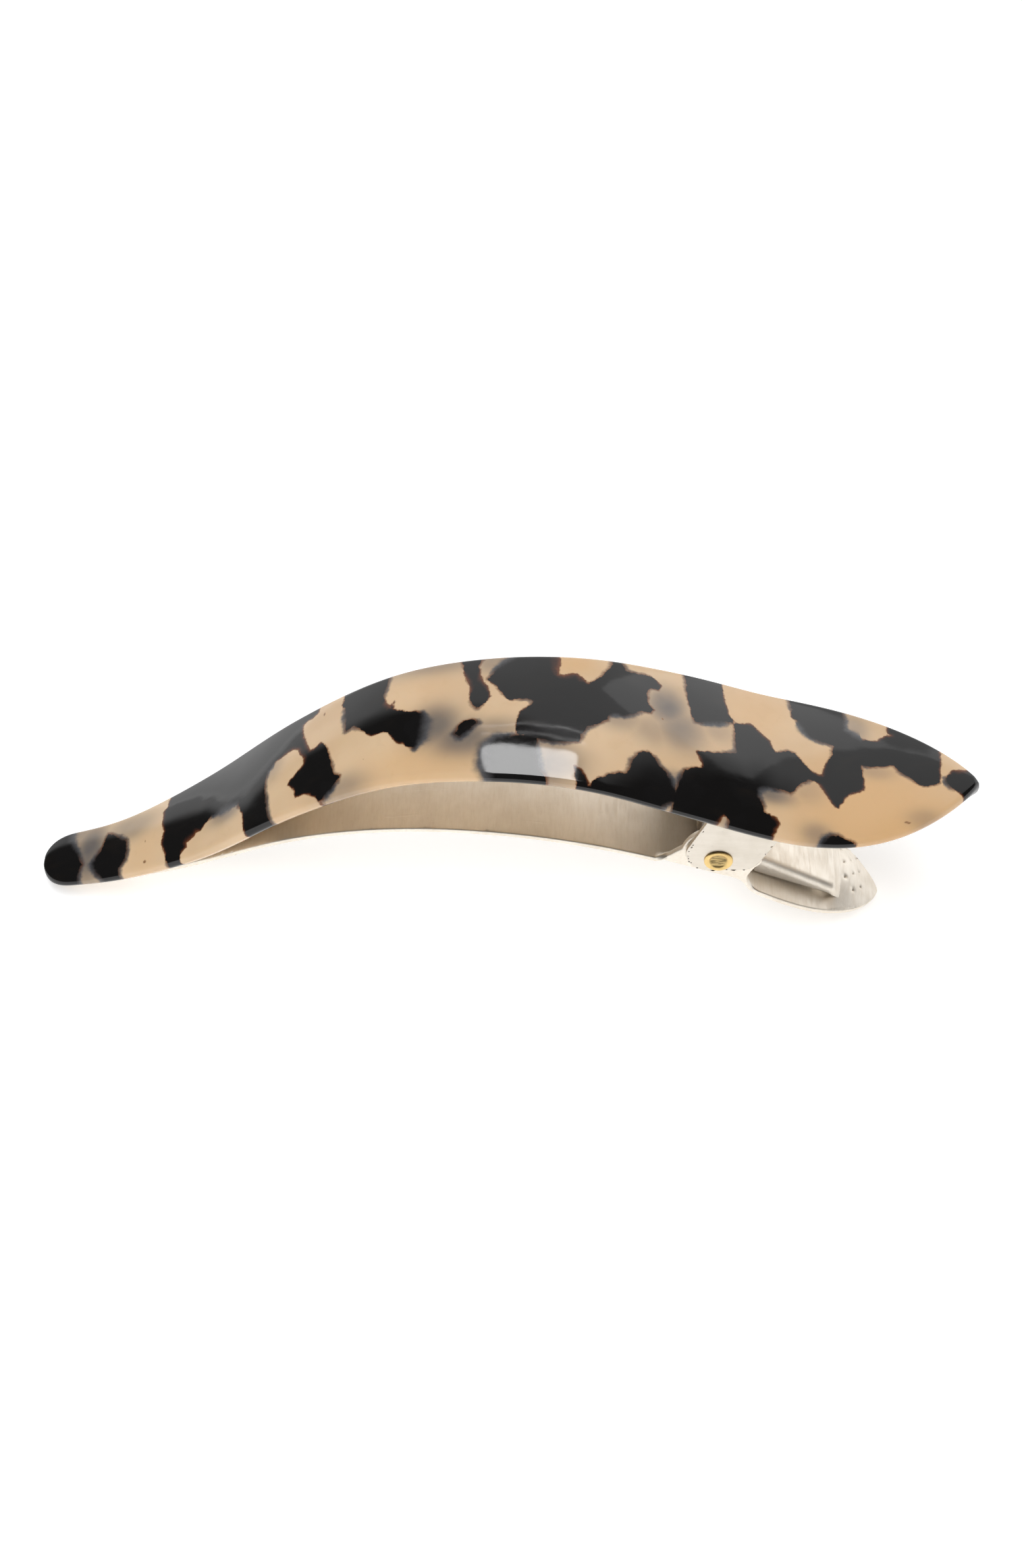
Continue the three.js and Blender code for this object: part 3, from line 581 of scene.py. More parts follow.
def make_cover():
    """The arched cover, crowned across, with the pattern stored on its points."""
    share = np.linspace(0, 1, COVER_STATIONS)
    eased = 0.5 - 0.5 * np.cos(math.pi * share)
    xs = TAIL_X + (HEAD_X - TAIL_X) * ((1 - STATION_EASE) * share + STATION_EASE * eased)
    xs[0], xs[-1] = TAIL_X, HEAD_X
    width = cover_half_width(xs)
    height = cover_height(xs)
    rise = np.gradient(height, xs)
    length = np.hypot(1, rise)
    columns, top_count = cover_section(width)
    rings = []
    for y, level in columns:
        out = COVER_CROWN * width / COVER_WIDEST * (1 - (y / width) ** 2) + level
        rings.append(np.stack([xs - out * rise / length, y, height + out / length], 1))
    around = len(rings)
    points = np.stack(rings, 1).reshape(-1, 3)
    ends = [tuple(range(around)), tuple(range(len(points) - 1, len(points) - around - 1, -1))]
    cover = mesh_object("acetate_cover", points, ring_faces(COVER_STATIONS, around) + ends)

    walk = np.concatenate([[0], np.cumsum(np.hypot(np.diff(xs), np.diff(height)))])
    on_sheet = np.stack([np.repeat(walk, around), points[:, 1]], 1)

    def laid(x, across):
        """Where a place along and a share across fall on the unrolled sheet."""
        along = np.interp(x, xs, walk) + np.clip(x - HEAD_X, 0, 9) + np.clip(x - TAIL_X, -9, 0)
        return np.stack([along, across * cover_half_width(np.clip(x, TAIL_X + 1, HEAD_X - 1))], -1)

    distance, softness, rim = patch_values(on_sheet, laid)
    # The backing layer starts partway round the eased edge.
    bevel = COVER_EDGE_STEPS - 3
    backing = np.zeros(around)
    backing[top_count + bevel:around - bevel] = 1
    add_values(cover, "patch_distance", np.clip(distance, -PATCH_REACH, PATCH_REACH))
    add_values(cover, "patch_softness", softness)
    add_values(cover, "patch_rim", rim)
    add_values(cover, "cloud", spot_values(on_sheet, laid, CLOUDS, CLOUD_FALL, CLOUD_POWER))
    add_values(cover, "warmth", spot_values(on_sheet, laid, WARMTH, CLOUD_FALL, CLOUD_POWER))
    add_values(cover, "fleck", spot_values(on_sheet, laid, FLECKS, fall=1, power=1))
    add_values(cover, "backing", np.tile(backing, COVER_STATIONS))
    return cover


# ---- lower jaw

def floor_point(u):
    """Where the jaw's flat floor lies at a distance u along the hinge frame."""
    x, _, z = in_hinge(u, 0, -FLOOR_DEPTH)
    return (x, z)


def thumb_point(back):
    """Where the thumb plate lies at a distance back from its tip."""
    x, _, z = in_thumb(back, 0, 0)
    return (x, z)


jaw_height = smoothed([
    (JAW_FRONT_X, 1.95), (-45, 4.5), (-40, 7.6), (-36, 10.6), (-30.5, 14.1), (-25, 16.65),
    (-19, 18.5), (-12, 19.65), (-5, 19.95), (3, 19.5), (12, 17.95),
    floor_point(-6.6), floor_point(-4.6), floor_point(2.6), floor_point(4.6),
    thumb_point(-20.6), thumb_point(-18.6), thumb_point(-4), thumb_point(0),
], 0.5)
jaw_body_width = smoothed([
    (JAW_FRONT_X, 1.8), (-47, 2.7), (-44, 3.3), (-40, 4.1), (-36, 5.2), (-30, 6.15), (-20, 7),
    (-8, 7.5), (4, 7.85), (16, JAW_HALF_WIDTH), (29, JAW_HALF_WIDTH),
    (THUMB_WIDEST_X, THUMB_HALF_WIDTH),
], 0.8)

JAW_BEND = 0.85
JAW_EAR_Y = JAW_HALF_WIDTH - SHEET / 2
JAW_FLAT = JAW_EAR_Y - JAW_BEND
JAW_BEND_END = JAW_FLAT + JAW_BEND * math.pi / 2
EAR_HOLE_T = JAW_BEND_END + FLOOR_DEPTH - JAW_BEND
FRONT_ROUNDING = 1.6
BODY_END, BODY_STEP = -7.2, 0.8

# Along the hinge frame: where the ears start to fold up out of the floor and are fully folded.
FOLD_FRONT, FOLD_REAR = (-7.1, -5.6), (6.6, 4.7)
CAMBER_END, CAMBER_RUN = 16, 12

POCKET_MOUTH, POCKET_RAMP, POCKET_END = -20.4, -9.1, -6.75
# The pocket's half width, height and wall height.
POCKET_AT_RAMP, POCKET_AT_MOUTH = (4.9, 2.6, 1.1), (5.5, 3.1, 2.3)
POCKET_SHEET, POCKET_BLANK = 0.6, 5.2
POCKET_SHOULDER = 0.55
POCKET_ROOT_SINK = POCKET_SHEET / 2 - SHEET / 2 + 0.02
WINDOW_HALF_WIDTH, WINDOW_END = 3.4, -7.6

# The plate swells a little between the pocket's end and the tip.
DOME_HEIGHT, DOME_POWER = 1.3, 1.3
DOME_START, DOME_FULL, DOME_FALLS, DOME_END = -9.6, -7, -6.2, -0.4

# Plain dimples stamped in the thumb plate for grip: back from the tip, and across.
DIMPLES = [(-6.2, y) for y in (-1.2, 1.2, 3.6)] + [(-4.8, y) for y in (-2.4, 0, 2.4, 4.8)]
DIMPLES += [(-3.4, y) for y in (-1.2, 1.2, 3.6)]
DIMPLE_RADIUS, DIMPLE_DEPTH, DIMPLE_STEEPNESS = 0.36, 0.32, 1.6
DIMPLE_RINGS = (0.35, 0.7, 1.0, 1.35, 1.8)


def thumb_half_width(share):
    return THUMB_HALF_WIDTH * (1 - share**THUMB_FULLNESS) ** THUMB_BLUNTNESS


def dome(back, y):
    """How far the plate's middle surface swells above its flat, at a distance back from the tip."""
    share = np.clip(1 + back * math.cos(THUMB_PITCH) / (THUMB_TIP_X - THUMB_WIDEST_X), 0, 1)
    across = np.clip(np.abs(y) / np.maximum(thumb_half_width(share), 0.2), 0, 1)
    along = smoothstep(back, DOME_START, DOME_FULL) * (1 - smoothstep(back, DOME_FALLS, DOME_END))
    return DOME_HEIGHT * along * (1 - across**2) ** DOME_POWER


def floor_x(u):
    return floor_point(u)[0]


def thumb_x(back):
    return thumb_point(back)[0]


def jaw_side():
    """The upper half of the jaw's flat outline, from its front end to the thumb plate's tip."""
    front_end = JAW_FRONT_X + FRONT_ROUNDING
    front_width = float(jaw_body_width(front_end))
    points = []
    for turn in np.radians(np.linspace(90, 0, 9)[:-1]):
        points.append((JAW_FRONT_X + FRONT_ROUNDING * (1 - math.sin(turn)), front_width * math.cos(turn)))
    points += [(x, float(jaw_body_width(x))) for x in np.arange(front_end, floor_x(BODY_END), BODY_STEP)]
    # The round ear stands on a hollow foot at either side, both in the hinge frame.
    ear = [(-6.7, 8.02), (-6.25, 8.1), (-5.9, 8.25), (-5.6, 8.6), (-5.35, 9.1), (-5.05, 9.7)]
    ear += arc((0, EAR_HOLE_T), JAW_EAR_RADIUS, 189, -8, 44)
    ear += [(4.62, 9.6), (4.72, 8.9), (4.95, 8.35), (5.4, 8.1), (6.1, 8.02)]
    points += [(floor_x(u), t) for u, t in ear]
    for share in 1 - np.linspace(1, 0.04, 60) ** 2:
        x = THUMB_WIDEST_X + share * (THUMB_TIP_X - THUMB_WIDEST_X)
        points.append((x, float(thumb_half_width(share))))
    return points


def bend_jaw(s, t):
    """Folds the flat blank: s is the distance along X, t is measured across the sheet."""
    reach = np.abs(t)
    back = (s - THUMB_TIP_X) / math.cos(THUMB_PITCH)
    width = np.where(s < THUMB_WIDEST_X, jaw_body_width(s), THUMB_HALF_WIDTH)
    crown = 1 - np.clip(reach / width, 0, 1) ** 2
    camber = JAW_CAMBER * smoothstep(CAMBER_END - s, 0, CAMBER_RUN) * crown
    fold = smoothstep(s, *map(floor_x, FOLD_FRONT)) * smoothstep(s, *map(floor_x, FOLD_REAR))
    angle = np.clip((reach - JAW_FLAT) / JAW_BEND, 0, math.pi / 2) * fold
    beyond = np.maximum(reach - JAW_BEND_END, 0)
    in_bend = np.clip(reach - JAW_FLAT, 0, JAW_BEND * math.pi / 2)
    straight = np.minimum(reach, JAW_FLAT)
    radius = JAW_BEND / np.maximum(fold, 1e-4)
    y = straight + np.where(fold > 1e-3, radius * np.sin(angle), in_bend) + beyond * np.cos(angle)
    out = np.where(fold > 1e-3, radius * (1 - np.cos(angle)), 0) + beyond * np.sin(angle) + camber

    out += dome(back, reach)
    for dimple_back, dimple_y in DIMPLES:
        away = np.hypot(back - dimple_back, t - dimple_y) / DIMPLE_RADIUS
        out -= DIMPLE_DEPTH * np.exp(-(away**2) * DIMPLE_STEEPNESS)

    tiny = 0.02
    rise = (jaw_height(s + tiny) - jaw_height(s - tiny)) / (2 * tiny)
    length = np.hypot(1, rise)
    return np.stack([s - out * rise / length, np.sign(t) * y, jaw_height(s) + out / length], -1)


def make_jaw():
    """The stamping: tip, arched arm, ears and thumb plate, with a window under the pocket."""
    window = rounded_side(thumb_x(POCKET_MOUTH), thumb_x(WINDOW_END), WINDOW_HALF_WIDTH, 0.8, steps=6)
    loops = [mirrored(jaw_side()), mirrored(window)]
    for sign in (-1, 1):
        ring = circle((0, sign * EAR_HOLE_T), RIVET_HOLE_RADIUS, steps=30)
        loops.append([(floor_x(u), t) for u, t in ring])
    fine = []
    for back, y in DIMPLES:
        fine.append((thumb_x(back), y))
        for share in DIMPLE_RINGS:
            fine += circle((thumb_x(back), y), share * DIMPLE_RADIUS, steps=12)
    return sheet_metal("steel_jaw", loops, bend_jaw, SHEET, edge_radius=0.2, step=0.3, extra=fine)


def pocket_section(back):
    """Half width, top height and wall height of the pocket's middle surface."""
    to_mouth = np.clip((POCKET_RAMP - back) / (POCKET_RAMP - POCKET_MOUTH), 0, 1)
    half, top, wall = (a + (b - a) * to_mouth for a, b in zip(POCKET_AT_RAMP, POCKET_AT_MOUTH))
    return half - POCKET_SHEET / 2, top - POCKET_SHEET / 2, np.maximum(wall - POCKET_SHOULDER, 0.02)


def bend_pocket(back, t):
    """Folds the pocket's strip: an inverted channel that ramps down into the plate at its end.

    The blank is POCKET_BLANK wide on each side, whatever the length of the section round it.
    """
    half, top, wall = pocket_section(back)
    share = np.abs(t) / POCKET_BLANK
    flat = half - POCKET_SHOULDER
    quarter = POCKET_SHOULDER * math.pi / 2
    reach = share * (flat + quarter + wall)
    turn = np.clip((reach - flat) / POCKET_SHOULDER, 0, math.pi / 2)
    down = np.maximum(reach - flat - quarter, 0)
    level = smoothstep(POCKET_END - back, 0, POCKET_END - POCKET_RAMP)
    folded = np.minimum(reach, flat) + POCKET_SHOULDER * np.sin(turn)
    y = share * half * (1 - level) + folded * level
    n = (top - POCKET_SHOULDER * (1 - np.cos(turn)) - down) * level
    n = n + (dome(back, y) - POCKET_ROOT_SINK) * (1 - level)
    return in_thumb(back, np.sign(t) * y, n)


def make_pocket():
    """The strip raised over the window and the spring's lower leg."""
    corner = 0.6
    side = arc((POCKET_MOUTH + corner, POCKET_BLANK - corner), corner, 180, 90, 6)
    outline = mirrored(side + [(POCKET_END, POCKET_BLANK)])
    return sheet_metal("spring_pocket", [outline], bend_pocket, POCKET_SHEET, edge_radius=0.16,
                       step=0.26)


# ---- hinge bracket

BRACKET_TOP = 7.2
BRACKET_FRONT, BRACKET_REAR = -6.5, 7.5
BRACKET_NECK = 8.1
BRACKET_CORNER = 1.5
BRACKET_EAR_OUTSIDE = 9.05
BRACKET_BEND = 0.75
BRACKET_MIDDLE = BRACKET_TOP - SHEET / 2
BRACKET_EAR_Y = BRACKET_EAR_OUTSIDE - SHEET / 2
BRACKET_FLAT = BRACKET_EAR_Y - BRACKET_BEND
BRACKET_BEND_END = BRACKET_FLAT + BRACKET_BEND * math.pi / 2
EAR_ROOT_FRONT, EAR_ROOT_REAR = -4.1, 5.4
RELIEF_WIDTH, RELIEF_DEPTH = 0.6, 7.3
SCREW_U, SCREW_Y, SCREW_HOLE_RADIUS = 1.5, 5.3, 1


def bend_bracket(u, t):
    """Folds the flat blank: u along the hinge frame, t measured across the sheet and down the ears."""
    reach = np.abs(t)
    angle = np.clip((reach - BRACKET_FLAT) / BRACKET_BEND, 0, math.pi / 2)
    beyond = np.maximum(reach - BRACKET_BEND_END, 0)
    y = np.minimum(reach, BRACKET_FLAT) + BRACKET_BEND * np.sin(angle)
    n = BRACKET_MIDDLE - BRACKET_BEND * (1 - np.cos(angle)) - beyond
    return in_hinge(u, np.sign(t) * y, n)


def bracket_blank_t(n):
    """Distance across the flat blank of a point at height n on the folded ear."""
    return BRACKET_BEND_END + (BRACKET_MIDDLE - BRACKET_BEND) - n


def make_bracket():
    """The base plate under the cover and its two ears, with a relief at each end of every bend."""
    steps = 8
    corners = rounded_side(BRACKET_FRONT, BRACKET_REAR, BRACKET_NECK, BRACKET_CORNER, steps)
    front_relief, rear_relief = EAR_ROOT_FRONT - RELIEF_WIDTH, EAR_ROOT_REAR + RELIEF_WIDTH
    ear = [(-4.4, .6)] + arc((-1.2, .6), 3.2, 180, 285, 18)
    ear += [(3.4, -.82), (3.95, -.57), (4.45, -.05), (4.8, .75), (5, 1.8)]
    side = corners[:steps]
    side += [(front_relief, BRACKET_NECK), (front_relief, RELIEF_DEPTH), (EAR_ROOT_FRONT, RELIEF_DEPTH)]
    side += [(u, bracket_blank_t(n)) for u, n in ear]
    side += [(EAR_ROOT_REAR, RELIEF_DEPTH + 1.6), (EAR_ROOT_REAR, RELIEF_DEPTH)]
    side += [(rear_relief, RELIEF_DEPTH), (rear_relief, BRACKET_NECK)]
    loops = [mirrored(side + corners[steps:])]
    for sign in (-1, 1):
        loops.append(circle((0, sign * bracket_blank_t(0)), RIVET_HOLE_RADIUS, steps=30))
        loops.append(circle((SCREW_U, sign * SCREW_Y), SCREW_HOLE_RADIUS, steps=24))
    return sheet_metal("nickel_bracket", loops, bend_bracket, SHEET, edge_radius=0.22, step=0.26)


SEAT_BOTTOM, SEAT_THICKNESS = BRACKET_TOP + 0.01, 1.95
SEAT_HALF_WIDTH, SEAT_INSET = 7.8, 0.3


def make_seat():
    """The flat seat under the cover that fills the hollow between its crown and the bracket."""
    front, rear = BRACKET_FRONT + SEAT_INSET, BRACKET_REAR - SEAT_INSET
    outline = mirrored(rounded_side(front, rear, SEAT_HALF_WIDTH, BRACKET_CORNER, steps=8))
    bend = lambda u, y: in_hinge(u, y, SEAT_BOTTOM + SEAT_THICKNESS / 2)
    return sheet_metal("bracket_seat", [outline], bend, SEAT_THICKNESS, edge_radius=0.15, step=0.5)


# ---- rivet, screws and spring

# One half of the rivet, from its middle: (radius, distance along the axis).
RIVET_SHANK = [(1.3, 0), (1.3, 6), (1.3, 8.9)]
RIVET_RIM = [(1.32, 9.06), (1.55, 9.08), (1.74, 9.11), (1.8, 9.19), (1.74, 9.29), (1.58, 9.35),
             (1.42, 9.34), (1.3, 9.3), (1.2, 9.25), (1.12, 9.19), (1.04, 9.13)]
RIVET_RECESS = [(.9, 9.09), (.5, 9.1), (.25, 9.12), (0, 9.12)]
RECESS_RADIUS, RECESS_EASE, RIVET_END = 1.24, 0.3, 9.4


def make_rivet():
    """A tubular rivet: a plain shank, and at each end a rolled gold rim round a deep recess."""
    profile = RIVET_SHANK + rounded_profile(RIVET_RIM, steps=60) + RIVET_RECESS
    half, faces = lathe(profile, segments=72)
    halves = [np.stack([half[:, 0] + PIN_X, sign * half[:, 2], half[:, 1] + PIN_Z], 1)
              for sign in (-1, 1)]
    faces += [tuple(v + len(half) for v in face[::-1]) for face in faces]
    rivet = mesh_object("brass_rivet", np.concatenate(halves), faces)
    tidy(rivet)
    places = np.array([v.co for v in rivet.data.vertices]) / MM - [SHIFT_X + PIN_X, 0, PIN_Z]
    inwards = RECESS_RADIUS - np.hypot(places[:, 0], places[:, 2])
    add_values(rivet, "recess", smoothstep(inwards, 0, RECESS_EASE) * (np.abs(places[:, 1]) < RIVET_END))
    return rivet


# In metres: points closer than the first are one, and faces flatter than the second are dropped.
JOIN_WITHIN, FLAT_WITHIN = 2e-6, 1e-7


def tidy(thing):
    """Joins points that coincide and turns every face outwards."""
    work = bmesh.new()
    work.from_mesh(thing.data)
    bmesh.ops.remove_doubles(work, verts=work.verts, dist=JOIN_WITHIN)
    bmesh.ops.dissolve_degenerate(work, edges=work.edges, dist=FLAT_WITHIN)
    bmesh.ops.recalc_face_normals(work, faces=work.faces)
    work.to_mesh(thing.data)
    work.free()
    thing.data.shade_smooth()


# (radius, height above the head's seat), from the head's crown to the end of the shank.
SCREW_PROFILE = [
    (1e-3, -.62), (.3, -.615), (.6, -.58), (.9, -.5), (1.1, -.4), (1.24, -.27), (1.3, -.15),
    (1.3, -.03), (1.27, 0), (.72, 0), (.7, .1), (.7, 2.6), (.5, 2.85), (1e-3, 2.9),
]
SLOT_HALF_WIDTH, SLOT_DEPTH = 0.19, 0.3


def make_screw(name, y):
    """A low domed screw with one driver slot, its shank up into the acetate."""
    head_top = BRACKET_TOP - SHEET - 0.02
    points, faces = lathe(divided(SCREW_PROFILE, step=0.12, closed=False), segments=64)
    in_slot = (np.abs(points[:, 0]) < SLOT_HALF_WIDTH) & (points[:, 2] < -0.05)
    points[in_slot, 2] = np.maximum(points[in_slot, 2], SCREW_PROFILE[0][1] + SLOT_DEPTH)
    placed = in_hinge(SCREW_U + points[:, 0], y + points[:, 1], head_top + points[:, 2])
    screw = mesh_object(name, placed, faces)
    tidy(screw)
    return screw


SPRING_THICKNESS = 0.7
SPRING_HALF_WIDTH, SPRING_CORNER = 3.6, 0.9
SPRING_BEND, BLEND_REACH = 2.3, 2.2
SPRING_UPPER_SLOPE, SPRING_LOWER_SLOPE = math.radians(21.5), math.radians(9.3)
SPRING_UPPER_LENGTH, SPRING_LOWER_LENGTH = 9.8, 18


def bend_spring(s, t):
    """Distance s along the strip from the end of its upper leg, t across it."""
    upper = math.pi / 2 + SPRING_UPPER_SLOPE
    lower = 3 * math.pi / 2 - SPRING_LOWER_SLOPE
    bend_length = SPRING_BEND * (lower - upper)
    turn = upper + np.clip((s - SPRING_UPPER_LENGTH) / SPRING_BEND, 0, lower - upper)
    before = np.maximum(SPRING_UPPER_LENGTH - s, 0)
    after = np.maximum(s - SPRING_UPPER_LENGTH - bend_length, 0)
    u = SPRING_BEND * np.cos(turn) + before * math.sin(upper) - after * math.sin(lower)
    n = SPRING_BEND * np.sin(turn) - before * math.cos(upper) + after * math.cos(lower)
    return in_hinge(u, t, n)


def make_spring():
    """A strip folded round the rivet, one leg under the bracket and one inside the pocket."""
    turn = math.pi - SPRING_UPPER_SLOPE - SPRING_LOWER_SLOPE
    length = SPRING_UPPER_LENGTH + SPRING_BEND * turn + SPRING_LOWER_LENGTH
    outline = mirrored(rounded_side(0, length, SPRING_HALF_WIDTH, SPRING_CORNER, steps=7))
    return sheet_metal("leaf_spring_strip", [outline], bend_spring, SPRING_THICKNESS,
                       edge_radius=0.18, step=0.3)


# ---- materials

class Nodes:
    """Adds and joins the nodes of one shader tree."""

    def __init__(self, owner):
        owner.use_nodes = True
        self.tree = owner.node_tree
        self.coordinates = self.node("ShaderNodeTexCoord").outputs

    def node(self, kind, **settings):
        made = self.tree.nodes.new(kind)
        for key, value in settings.items():
            setattr(made, key, value)
        return made

    def put(self, socket, value):
        if isinstance(value, bpy.types.NodeSocket):
            self.tree.links.new(value, socket)
        elif isinstance(value, tuple) and len(value) == 3 and socket.type == "RGBA":
            socket.default_value = (*value, 1)
        else:
            socket.default_value = value

    def math(self, operation, a, b=0.0, clamp=False):
        made = self.node("ShaderNodeMath", operation=operation, use_clamp=clamp)
        self.put(made.inputs[0], a)
        self.put(made.inputs[1], b)
        return made.outputs[0]

    def plus(self, a, b):
        return self.math("ADD", a, b)

    def minus(self, a, b):
        return self.math("SUBTRACT", a, b)

    def times(self, a, b, clamp=False):
        return self.math("MULTIPLY", a, b, clamp)

    def span(self, value, low, high, to_low=0.0, to_high=1.0):
        """A smooth step from one level to another while the value goes from low to high."""
        made = self.node("ShaderNodeMapRange", interpolation_type="SMOOTHSTEP")
        for index, part in enumerate((value, low, high, to_low, to_high)):
            self.put(made.inputs[index], part)
        return made.outputs[0]


class Shader(Nodes):
    """The nodes of one material."""

    def __init__(self, name):
        self.material = bpy.data.materials.new(name)
        super().__init__(self.material)
        self.surface = self.tree.nodes["Principled BSDF"]
        self.place = self.coordinates["Object"]

    def coat(self, **inputs):
        """Sets inputs of the surface, each named with underscores for its spaces."""
        for name, value in inputs.items():
            self.put(self.surface.inputs[name.replace("_", " ")], value)

    def mix(self, share, a, b):
        made = self.node("ShaderNodeMix", data_type="RGBA", clamp_factor=True)
        for index, part in ((0, share), (6, a), (7, b)):
            self.put(made.inputs[index], part)
        return made.outputs[2]

    def noise(self, scale, detail=2.0, roughness=0.5, distortion=0.0, stretch=(1, 1, 1)):
        mapping = self.node("ShaderNodeMapping")
        self.put(mapping.inputs["Vector"], self.place)
        self.put(mapping.inputs["Scale"], stretch)
        made = self.node("ShaderNodeTexNoise")
        self.put(made.inputs["Vector"], mapping.outputs[0])
        settings = {"Scale": scale, "Detail": detail, "Roughness": roughness, "Distortion": distortion}
        for name, value in settings.items():
            self.put(made.inputs[name], value)
        return made.outputs[0]

    def value(self, name):
        return self.node("ShaderNodeAttribute", attribute_name=name).outputs["Fac"]

    def ramp(self, value, stops):
        made = self.node("ShaderNodeValToRGB")
        elements = made.color_ramp.elements
        while len(elements) < len(stops):
            elements.new(0.5)
        for element, (position, colour) in zip(elements, stops):
            element.position = position
            element.color = (*colour, 1)
        self.put(made.inputs[0], value)
        return made.outputs[0]

    def bump(self, height, distance):
        made = self.node("ShaderNodeBump")
        self.put(made.inputs["Distance"], distance)
        self.put(made.inputs["Strength"], 1.0)
        self.put(made.inputs["Height"], height)
        self.coat(Normal=made.outputs[0])


def acetate_material():
    """Polished blonde tortoiseshell: a peach-cream ground, dark patches, red-brown rims, grey clouds."""
    m = Shader("tortoiseshell_acetate")
    ragged = m.minus(m.noise(1100, 5, 0.66), 0.5)
    wander = m.minus(m.noise(300, 3, 0.6), 0.5)
    distance = m.plus(m.value("patch_distance"), m.times(ragged, 0.75))
    distance = m.plus(distance, m.times(wander, 0.7))
    softness = m.value("patch_softness")
    dark = m.span(m.math("DIVIDE", distance, softness), -0.25, 1.3, 1.0, 0.0)
    soft_share = m.span(softness, 0.25, 0.9)

    rim = m.math("MAXIMUM", m.value("patch_rim"), 0.03)
    depth = m.math("DIVIDE", m.times(distance, -1.0), rim, clamp=True)
    inside = m.ramp(depth, [(0, (.17, .055, .02)), (.4, (.05, .017, .009)), (1, (.0045, .004, .0038))])
    inside = m.mix(soft_share, inside, (.0055, .005, .005))
    streak = m.span(m.noise(150, 4, 0.6, 0.6, (1, 2.2, 1)), 0.52, 0.75)
    inside = m.mix(m.times(streak, 0.4), inside, (.014, .010, .007))

    drift = m.span(m.noise(55, 3, 0.55), 0.35, 0.68)
    ground = m.mix(drift, (.68, .475, .285), (.77, .57, .365))
    ground = m.mix(m.times(m.value("warmth"), 0.85), ground, (.73, .445, .205))
    veil = m.span(m.noise(420, 4, 0.6, 0.8), 0.5, 0.78)
    ground = m.mix(m.times(veil, 0.10), ground, (.52, .30, .14))
    cloud = m.times(m.value("cloud"), m.span(m.noise(130, 3, 0.55), 0.25, 0.6, 0.8, 1.0), clamp=True)
    ground = m.mix(cloud, ground, (.115, .112, .115))
    ground = m.mix(m.span(m.value("fleck"), 0.3, 0.75), ground, (.30, .16, .08))

    shade = m.times(m.span(dark, 0.0, 0.5), soft_share)
    ground = m.mix(shade, ground, (.15, .147, .155))
    colour = m.mix(dark, ground, inside)
    backing = m.mix(drift, (.80, .65, .47), (.85, .70, .52))
    colour = m.mix(m.times(m.value("backing"), 0.85), colour, backing)
    wear = m.noise(700, 5, 0.7, 0.0, (1, 3, 1))
    m.coat(Base_Color=colour, Roughness=m.span(wear, 0.3, 0.75, 0.045, 0.10), IOR=1.49,
           Subsurface_Weight=m.times(m.minus(1.0, dark), 0.12), Subsurface_Scale=0.0012,
           Subsurface_Radius=(1.0, 0.55, 0.28))
    m.bump(m.plus(m.noise(95, 2, 0.5), m.times(wear, 0.012)), 0.00011)
    return m.material


def seat_material():
    """The plain pale resin of the cover's underside."""
    m = Shader("backing_resin")
    drift = m.span(m.noise(55, 3, 0.55), 0.35, 0.68)
    m.coat(Base_Color=m.mix(drift, (.78, .62, .44), (.83, .67, .49)),
           Roughness=m.span(m.noise(700, 5, 0.7), 0.3, 0.75, 0.12, 0.24))
    m.bump(m.noise(300, 3, 0.55), 0.00004)
    return m.material


def metal_shader(name, colour, tint, roughness, grain, brushing=(0.18, 1, 1), spots=0.2):
    """Plated metal: a satin grain, faint tarnish, and small handling marks. Also gives its colour."""
    m = Shader(name)
    fine = m.noise(2600, 3, 0.65, 0.0, brushing)
    patchy = m.noise(170, 4, 0.6)
    mottled = m.noise(1400, 3, 0.6)
    base = m.mix(m.times(m.span(patchy, 0.40, 0.72), 0.55), colour, tint)
    base = m.mix(m.times(m.span(mottled, 0.62, 0.8), spots), base, tuple(0.5 * c for c in tint))
    base = m.mix(m.span(fine, 0.35, 0.75, 0.0, 0.22), base, tint)
    rough = m.span(fine, 0.25, 0.8, roughness * 0.85, roughness * 1.2)
    m.coat(Base_Color=base, Metallic=1.0, Roughness=m.plus(rough, m.span(patchy, 0.35, 0.75, 0.0, 0.06)))
    scratch = m.span(m.noise(900, 2, 0.5, 0.4, (0.12, 1, 0.5)), 0.66, 0.72)
    height = m.plus(m.times(fine, grain), m.times(scratch, -0.25))
    m.bump(m.plus(height, m.times(m.noise(240, 2, 0.5), 1.1)), 0.00003)
    return m, base


def brass_material():
    """Bright brass on the rolled rim, and a darker, duller, streaked colour inside the recess."""
    m, base = metal_shader("bright_brass", (.80, .585, .25), (.58, .39, .15), roughness=0.33, grain=0.4,
                           brushing=(1, 1, 0.2))
    streaks = m.span(m.noise(2200, 4, 0.7, 0.3, (0.25, 1, 1)), 0.38, 0.62)
    dull = m.mix(streaks, (.17, .125, .055), (.52, .385, .17))
    m.coat(Base_Color=m.mix(m.value("recess"), base, dull))
    return m.material


def floor_material():
    """Matt white paper that stays white however far it runs from the lamps."""
    m = Shader("pale_floor")
    away = m.node("ShaderNodeVectorMath", operation="LENGTH")
    m.put(away.inputs[0], m.place)
    m.coat(Base_Color=m.mix(m.noise(60, 3, 0.5), (.91, .91, .91), (.95, .95, .95)), Roughness=0.9,
           Specular_IOR_Level=0.1, Emission_Color=(1, 1, 1),
           Emission_Strength=m.span(away.outputs["Value"], 0.15, 0.8, 0.42, 1))
    return m.material


# ---- camera, light and floor

